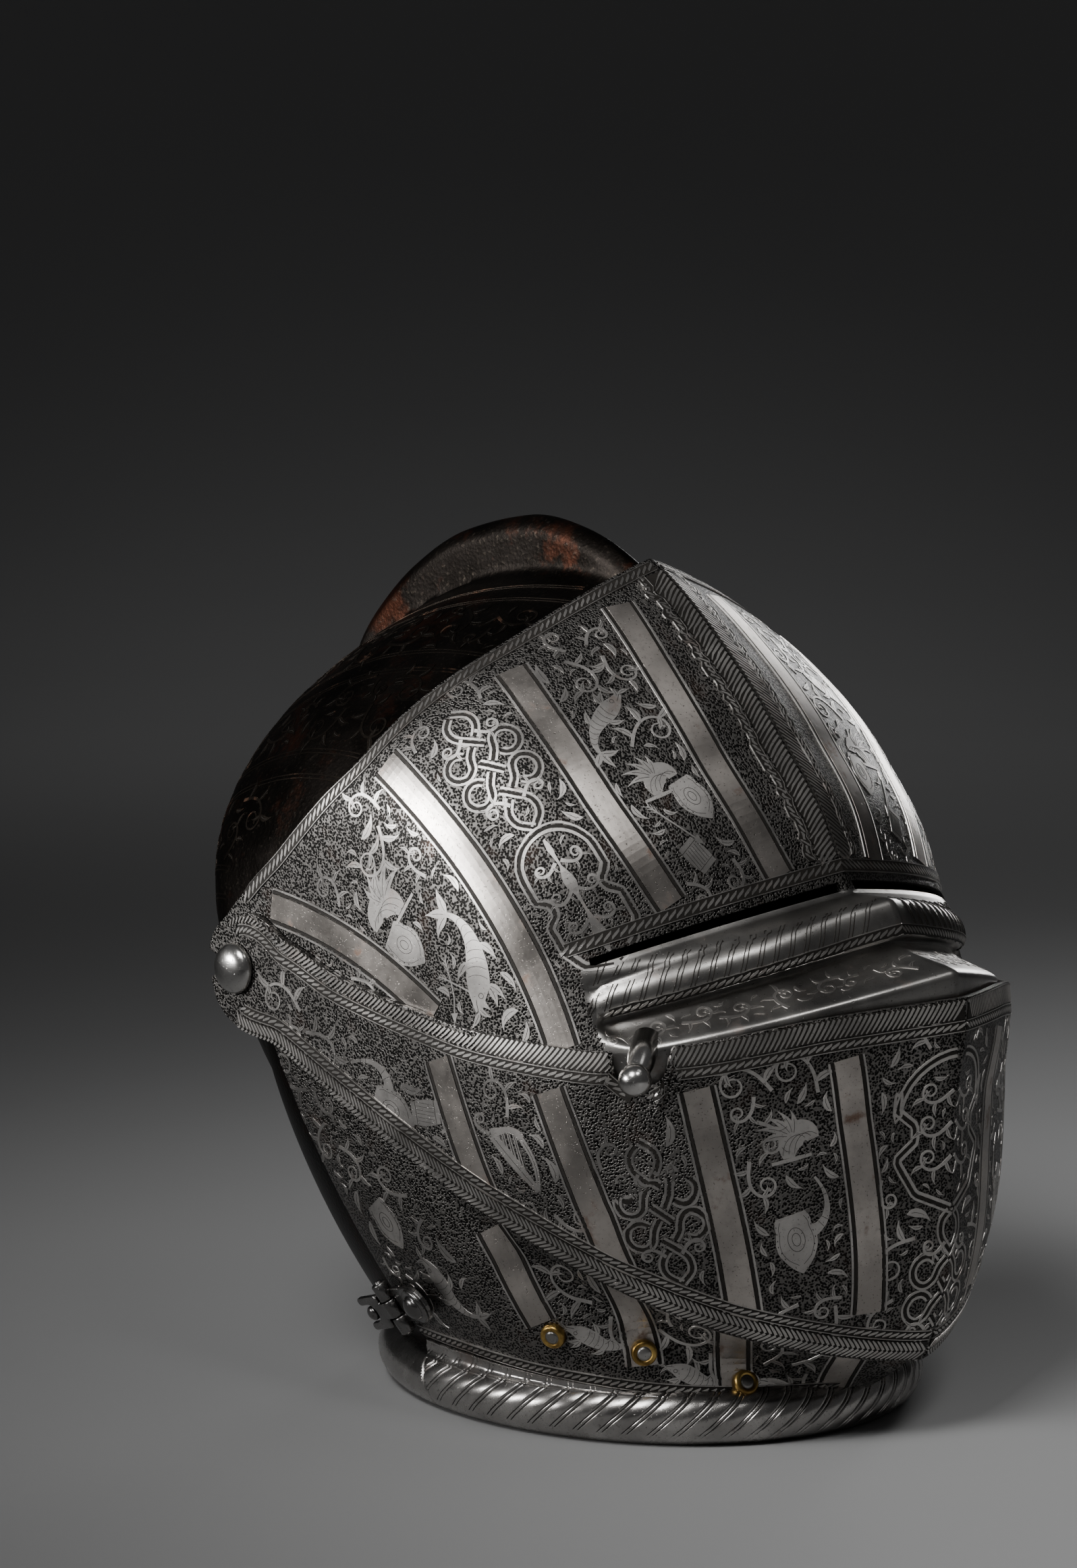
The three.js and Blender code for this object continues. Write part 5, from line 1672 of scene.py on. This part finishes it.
def etch_lower():
    relief = Relief()
    etch_bands(relief, lower_face, LOWER_BANDS)
    border = Etcher(relief, Lane(lower_face, neck_line(lower_spots, LOWER_ROWS, 13)))
    rope(border, 0, 3.6, 2.6)
    for k, (one, two) in enumerate(zip(LOWER_BANDS, LOWER_BANDS[1:])):
        panel = Panel(relief, lower_face, one, two)
        panel.dolphin(-8, 17, 10, 12, 1)
        panel.scroll(7, 14, 100, 8, -1, 4)
        panel.fill(0, panel.lane.length, 31 + k)
    tail = Strip(relief, lower_face, LOWER_TAIL)
    tail.scroll(0, 26, 60, 10, 1, 4)
    tail.shield(-2, 48, 90, 18)
    tail.dolphin(4, 72, 60, 14, 1)
    tail.fill(0, tail.lane.length, 36)
    return relief


SKULL_LINES = (-5.5, -4, 4, 5.5)
SKULL_LIFT = 0.1
SKULL_LEAVES = ((8, 160), (6, 300))


def etch_skull():
    """Faint line pairs and leaves on the skull."""
    relief = Relief()
    for points in SKULL_BANDS:
        band = Etcher(relief, Lane(skull_face, smooth_line(points)))
        for x in SKULL_LINES:
            band.line(straight(x, np.arange(0, band.lane.length, BAND_STEP)), 0.7, lift=SKULL_LIFT)
    for k, (one, two) in enumerate(zip(SKULL_BANDS, SKULL_BANDS[1:])):
        panel = Panel(relief, skull_face, one, two)
        panel.fill(6, panel.lane.length, 41 + k, SKULL_LEAVES)
    return relief


def add_etching(name, relief, body, materials=ORNAMENT, slot="etched_steel"):
    relief.mesh(name + "_right", body, materials, slot)
    relief.mirrored().mesh(name + "_left", body, materials, slot)


add_etching("visor_etching", etch_visor(), "visor")
add_etching("upper_bevor_etching", etch_upper(), "upper_bevor")
add_etching("lower_bevor_etching", etch_lower(), "lower_bevor")
add_etching("skull_etching", etch_skull(), "skull", FAINT, "dark_steel")
add_etching("upper_bevor_etching_keel", etch_keel(), "upper_bevor")
for side, hand in (("right", 1), ("left", -1)):
    etch_top_edge(hand).mesh("upper_bevor_edge_" + side, "upper_bevor", ORNAMENT, "etched_steel")


def turned(profile, steps=48):
    """Round form about the Z axis from pairs of radius and height."""
    made = bmesh.new()
    spots = [made.verts.new((radius * MM, 0, height * MM)) for radius, height in profile]
    edges = [made.edges.new(pair) for pair in zip(spots, spots[1:])]
    bmesh.ops.spin(made, geom=spots + edges, cent=(0, 0, 0), axis=(0, 0, 1), angle=2 * math.pi,
                   steps=steps, use_merge=True)
    bmesh.ops.remove_doubles(made, verts=made.verts, dist=1e-7)
    bmesh.ops.recalc_face_normals(made, faces=made.faces)
    for face in made.faces:
        face.smooth = True
    return made


def dome(half, base, height, start=90, end=0, count=10):
    """Pairs of radius and height along a round cap, from its foot to its top."""
    angles = np.radians(np.linspace(start, end, count))
    return [(half * math.sin(a), base + height * math.cos(a)) for a in angles]


def stand(made, foot, out):
    """Turn a form's Z axis outward and move its foot to a place."""
    turn = Vector(out).to_track_quat("Z", "Y").to_matrix().to_4x4()
    bmesh.ops.transform(made, matrix=Matrix.Translation(Vector(foot) * MM) @ turn, verts=made.verts)
    return made


PIVOT_SEAT = UPPER_SIDE + 0.4
PIVOT_END = SKULL_SIDE - SHEET - 1.5
PIVOT_HEAD = 8.5
PIVOT_DOME = 4.4
PIVOT_PROFILE = [
    (0, PIVOT_END - 3), (5.5, PIVOT_END - 3), (6.5, PIVOT_END - 1.5), (6.5, PIVOT_END), (3, PIVOT_END),
    (3, PIVOT_SEAT), (PIVOT_HEAD - 0.2, PIVOT_SEAT), (PIVOT_HEAD, PIVOT_SEAT + 0.2),
] + dome(PIVOT_HEAD, PIVOT_SEAT + 0.6, PIVOT_DOME)

PEG_FOOT = (-84.4, -84.2, 134)
PEG_LEAN = (-0.76, -0.45, -0.45)
PEG_BALL = 5.2
PEG_BALL_AT = 15
PEG_PROFILE = [
    (0, -6), (4.5, -6), (4.5, 5.2), (4.3, 7), (4.05, 8.8), (3.8, 10.2), (3.6, 11),
] + dome(PEG_BALL, PEG_BALL_AT, PEG_BALL, 136, 0, 16)

RIVET_SPOTS = ((129.5, 0.8), (154, 0.825), (165, 0.92), (175, 0.96))
RIVET_CENTRE = 2.3
RIVET_PROFILE = [
    (0, -2), (4.25, -2), (4.25, 0.3), (4.2, 0.9), (4.0, 1.4), (3.6, 1.8), (3.0, 1.9), (2.55, 1.75),
    (RIVET_CENTRE, 1.45), (2.15, 1.55),
] + dome(2.1, 1.55, 0.6)


def lower_frame(turn, along, hand):
    """Place on the lower bevor near the neck, with the directions down and out of the plate there."""
    def at(turn, along):
        return Vector(neck_rib(LOWER_RIBS, LOWER_SIDE, turn, 0, along) * (hand, 1, 1))

    ahead = (at(turn + 1, along) - at(turn - 1, along)).normalized()
    down = (at(turn, along + 0.01) - at(turn, along - 0.01)).normalized()
    out = ahead.cross(down).normalized()
    if out.x * hand < 0:
        out = -out
    return at(turn, along), down, out


def build_rivet(name, turn, along, hand):
    spot, _, out = lower_frame(turn, along, hand)
    made = turned(RIVET_PROFILE, 32)
    for face in made.faces:
        middle = face.calc_center_median()
        face.material_index = int(math.hypot(middle.x, middle.y) < RIVET_CENTRE * MM and middle.z > 0)
    piece(name + "_cap", stand(made, spot, out), [BRASS, PLAIN], "lower_bevor", "brass", name)


for side, hand in (("right", -1), ("left", 1)):
    made = stand(turned(PIVOT_PROFILE), (0, PIVOT_Y, PIVOT_Z), (hand, 0, 0))
    piece("pivot_" + side + "_dome", made, [POLISHED], "skull", "bright_steel", "pivot_" + side)
    for k, (turn, along) in enumerate(RIVET_SPOTS, 1):
        build_rivet(f"rivet_{side}_{k}", turn, along, hand)
made = stand(turned(PEG_PROFILE), PEG_FOOT, PEG_LEAN)
piece("lifting_peg_turned", made, [POLISHED], "visor", "bright_steel", "lifting_peg")

# Latch: x ahead along the plates, y out of them, z down along the hinge
LATCH_ALONG = 0.825
LATCH_PAST_SEAM = 1.2
LATCH_UP = 3.6
KNUCKLE = 2.7
KNUCKLE_LENGTH = 6.2
KNUCKLE_GAP = 0.3
KNUCKLE_ROUND = 0.35
PIN = 1.2
PIN_BORE = 1.5
LEAF_HALF = 6.5
LEAF_THICK = 1.8
LEAF_SOFT = 0.5
LEAF_BACK = 0.4
LEAF_NOTCH = KNUCKLE + 1
HASP_LENGTH = 18
HASP_HALF = 6.4
HASP_UNDER = 0.7
HASP_THICK = 1.8
HASP_TILT = 6
HASP_NECK = -KNUCKLE - 1.2
HASP_TIP = 1.5
SLOT_HALF = 3.4
STUD = 2.6
STUD_AT = 12.5
SLOT_END = -STUD_AT + 0.4
ROSETTE_AT = 20
ROSETTE_BASE = LEAF_THICK - KNUCKLE
ROSETTE_PROFILE = [
    (0, -0.2), (6.2, -0.2), (6.6, 0.3), (6.5, 0.9), (6.0, 1.4), (5.2, 1.5), (4.7, 1.2),
] + dome(4.4, 1.1, 3.1)

latch_spot, latch_down, latch_out = lower_frame(LOWER_TURN + LATCH_PAST_SEAM, LATCH_ALONG, -1)
latch_out = (latch_out - latch_down * latch_out.dot(latch_down)).normalized()
latch_ahead = latch_down.cross(latch_out)
if latch_ahead.y > 0:
    latch_ahead = -latch_ahead
latch_turn = Matrix((latch_ahead, latch_out, latch_down)).transposed().to_4x4()
LATCH = Matrix.Translation((latch_spot + latch_out * LATCH_UP) * MM) @ latch_turn


def add(made, other):
    """Copy one bmesh into another."""
    mesh = bpy.data.meshes.new("part")
    other.to_mesh(mesh)
    other.free()
    made.from_mesh(mesh)
    bpy.data.meshes.remove(mesh)
    return made


def slab(outline, low, high, soft):
    """Flat plate from an outline in x and z, between two heights, with softened edges."""
    made = bmesh.new()
    face = made.faces.new([made.verts.new((x * MM, low * MM, z * MM)) for x, z in outline])
    grown = bmesh.ops.extrude_face_region(made, geom=[face])["geom"]
    raised = [g for g in grown if isinstance(g, bmesh.types.BMVert)]
    bmesh.ops.translate(made, vec=(0, (high - low) * MM, 0), verts=raised)
    sharp = [e for e in made.edges if e.calc_face_angle(0) > 0.6]
    bmesh.ops.bevel(made, geom=sharp, offset=soft * MM, offset_type="OFFSET", segments=3, profile=0.5,
                    affect="EDGES", material=-1)
    bmesh.ops.recalc_face_normals(made, faces=made.faces)
    return made


def knuckle(low, high):
    soft = KNUCKLE_ROUND
    return turned([
        (PIN_BORE, low), (KNUCKLE - soft, low), (KNUCKLE, low + soft), (KNUCKLE, high - soft),
        (KNUCKLE - soft, high), (PIN_BORE, high), (PIN_BORE, low),
    ], 32)


def arc(x, z, half, start, end, count=10):
    """Points round part of a circle."""
    angles = np.radians(np.linspace(start, end, count))
    return [(x + half * math.cos(a), z + half * math.sin(a)) for a in angles]


def add_latch(name, made, body, node):
    bmesh.ops.transform(made, matrix=LATCH, verts=made.verts)
    bmesh.ops.recalc_face_normals(made, faces=made.faces)
    piece(name, made, [LATCH_STEEL], body, "bright_steel", node)


def upright(made, x, lift):
    """Turn a round form's Z axis out of the plates, at a distance along the latch."""
    turn = Matrix.Translation((x * MM, lift * MM, 0)) @ Matrix.Rotation(-math.pi / 2, 4, "X")
    bmesh.ops.transform(made, matrix=turn, verts=made.verts)
    return made


third = KNUCKLE_LENGTH / 2
inner_end = third + KNUCKLE_GAP
outer_end = inner_end + KNUCKLE_LENGTH
leaf_outline = [(LEAF_BACK, -LEAF_HALF)] + arc(ROSETTE_AT, 0, LEAF_HALF, -90, 90, 14)
leaf_outline += [(LEAF_BACK, LEAF_HALF), (LEAF_BACK, inner_end), (LEAF_NOTCH, inner_end)]
leaf_outline += [(LEAF_NOTCH, -inner_end), (LEAF_BACK, -inner_end)]
leaf = slab(leaf_outline, -KNUCKLE, LEAF_THICK - KNUCKLE, LEAF_SOFT)
add(leaf, knuckle(-outer_end, -inner_end))
add(leaf, knuckle(inner_end, outer_end))
add_latch("latch_leaf_plate", leaf, "lower_bevor", "latch_leaf")
pin_end = 1.5 * KNUCKLE_LENGTH + 1
pin = turned([(0, -pin_end), (PIN, -pin_end), (PIN, pin_end), (0, pin_end)], 24)
add_latch("latch_pin_bar", pin, "lower_bevor", "latch_pin")
rosette = upright(turned(ROSETTE_PROFILE, 40), ROSETTE_AT, ROSETTE_BASE)
add_latch("latch_rosette_boss", rosette, "lower_bevor", "latch_rosette")
hasp_shoulder = [(0, third), (HASP_NECK, third), (HASP_NECK, HASP_HALF - 1), (HASP_NECK - 1, HASP_HALF)]
tip = -HASP_LENGTH + HASP_TIP
hasp_outline = hasp_shoulder + arc(tip, HASP_HALF - HASP_TIP, HASP_TIP, 90, 270, 7)
hasp_outline += arc(SLOT_END, 0, SLOT_HALF, 90, -90, 10)
hasp_outline += arc(tip, -HASP_HALF + HASP_TIP, HASP_TIP, 90, 270, 7)
hasp_outline += [(x, -z) for x, z in hasp_shoulder[::-1]]
hasp = slab(hasp_outline, HASP_UNDER, HASP_UNDER + HASP_THICK, LEAF_SOFT)
bmesh.ops.transform(hasp, matrix=Matrix.Rotation(math.radians(-HASP_TILT), 4, "Z"), verts=hasp.verts)
add(hasp, knuckle(-third, third))
add_latch("latch_hasp_arm", hasp, "hasp", "latch_hasp")
stud = upright(turned([(0, -8), (STUD, -8), (STUD, 3)] + dome(STUD, 3.2, 1.8), 32), -STUD_AT, 0)
add_latch("latch_stud_post", stud, "skull", "latch_stud")


# Photograph's frame and focal length in pixels, and the camera's place in metres
FRAME_WIDE = 1596
FRAME_HIGH = 2323
FOCAL = 6500
SENSOR = 24
CAMERA_PLACE = (-1.0698197, -0.9903516, 0.3935652)
CAMERA_RIGHT = (0.694658, -0.719340, 0)
CAMERA_UP = (0.0938927, 0.0906711, 0.991445)
CAMERA_BACK = (-0.713186, -0.688715, 0.130526)


def build_camera():
    """Camera at the photograph's place."""
    data = bpy.data.cameras.new("photo_camera")
    data.sensor_fit = "VERTICAL"
    data.sensor_height = SENSOR
    data.sensor_width = SENSOR * FRAME_WIDE / FRAME_HIGH
    data.lens = SENSOR * FOCAL / FRAME_HIGH
    data.clip_end = 50
    camera = bpy.data.objects.new("photo_camera", data)
    turn = Matrix((CAMERA_RIGHT, CAMERA_UP, CAMERA_BACK)).transposed().to_4x4()
    camera.matrix_world = Matrix.Translation(CAMERA_PLACE) @ turn
    bpy.context.scene.collection.objects.link(camera)
    bpy.context.scene.camera = camera


# Soft boxes: place and target in metres, width and height in metres, power in watts, spread in degrees
LIGHTS = (
    ("key_box", (-1.215, 0.607, 0.788), (0, 0, 0.6), (0.75, 0.75), 7.5, 32),
    ("high_box", (-0.93, -0.225, 1.305), (0, 0, 0.25), (0.6, 0.6), 1.2, 40),
    ("top_box", (0.338, -0.677, 1.672), (0, 0, 0.15), (0.5, 0.5), 0.8, 180),
    ("right_box", (1.364, 0.53, 0.483), (0, 0, 0.4), (0.3, 0.6), 0.35, 40),
    ("floor_box", (-0.3, -1.1, 1.5), (-0.1, -0.7, 0), (0.5, 0.5), 2.4, 45),
    ("back_box", (1.22, 1.18, 1.5), (1.3, 1.25, 0), (0.9, 0.9), 0.55, 70),
)


def build_light(name, place, target, size, power, spread):
    data = bpy.data.lights.new(name, "AREA")
    data.shape = "RECTANGLE"
    data.size, data.size_y = size
    data.energy = power
    data.spread = math.radians(spread)
    light = bpy.data.objects.new(name, data)
    light.location = place
    light.rotation_mode = "QUATERNION"
    light.rotation_quaternion = (Vector(place) - Vector(target)).to_track_quat("Z", "Y")
    bpy.context.scene.collection.objects.link(light)


# Floor and backdrop in metres: how far it lies in front of and behind the helmet, and how it bends up
SWEEP_HALF = 7
SWEEP_LENGTH = 9
SWEEP_FRONT = 3.2
SWEEP_FLAT = 5.0
SWEEP_ROUND = 1.5
SWEEP_BEND = 2.36
SWEEP_TURN = -46
SWEEP_SHADE = 0.26


def build_sweep():
    """Pale floor that curves up into a backdrop far behind the helmet."""
    made = bmesh.new()
    bmesh.ops.create_grid(made, x_segments=8, y_segments=48, size=1)
    for vertex in made.verts:
        along = (vertex.co.y + 1) / 2 * SWEEP_LENGTH
        bend = min(max(along - SWEEP_FLAT, 0), SWEEP_BEND) / SWEEP_ROUND
        rise = max(along - SWEEP_FLAT - SWEEP_BEND, 0)
        y = min(along, SWEEP_FLAT) + SWEEP_ROUND * math.sin(bend)
        z = SWEEP_ROUND * (1 - math.cos(bend)) + rise
        vertex.co = Vector((vertex.co.x * SWEEP_HALF, y - SWEEP_FRONT, z))
    turn = Matrix.Rotation(math.radians(SWEEP_TURN), 4, "Z")
    bmesh.ops.transform(made, matrix=turn, verts=made.verts)
    for face in made.faces:
        face.smooth = True
    mesh = bpy.data.meshes.new("studio_sweep")
    made.to_mesh(mesh)
    made.free()
    mesh.materials.append(studio_grey("studio_grey", SWEEP_SHADE))
    sweep = bpy.data.objects.new("studio_sweep", mesh)
    bpy.context.scene.collection.objects.link(sweep)


WORLD = (0.06, 0.06, 0.061, 1)


def build_world():
    world = bpy.data.worlds.new("studio_dim")
    world.use_nodes = True
    world.node_tree.nodes["Background"].inputs["Color"].default_value = WORLD
    world.node_tree.nodes["Background"].inputs["Strength"].default_value = 1.0
    bpy.context.scene.world = world


build_camera()
for row in LIGHTS:
    build_light(*row)
build_sweep()
build_world()
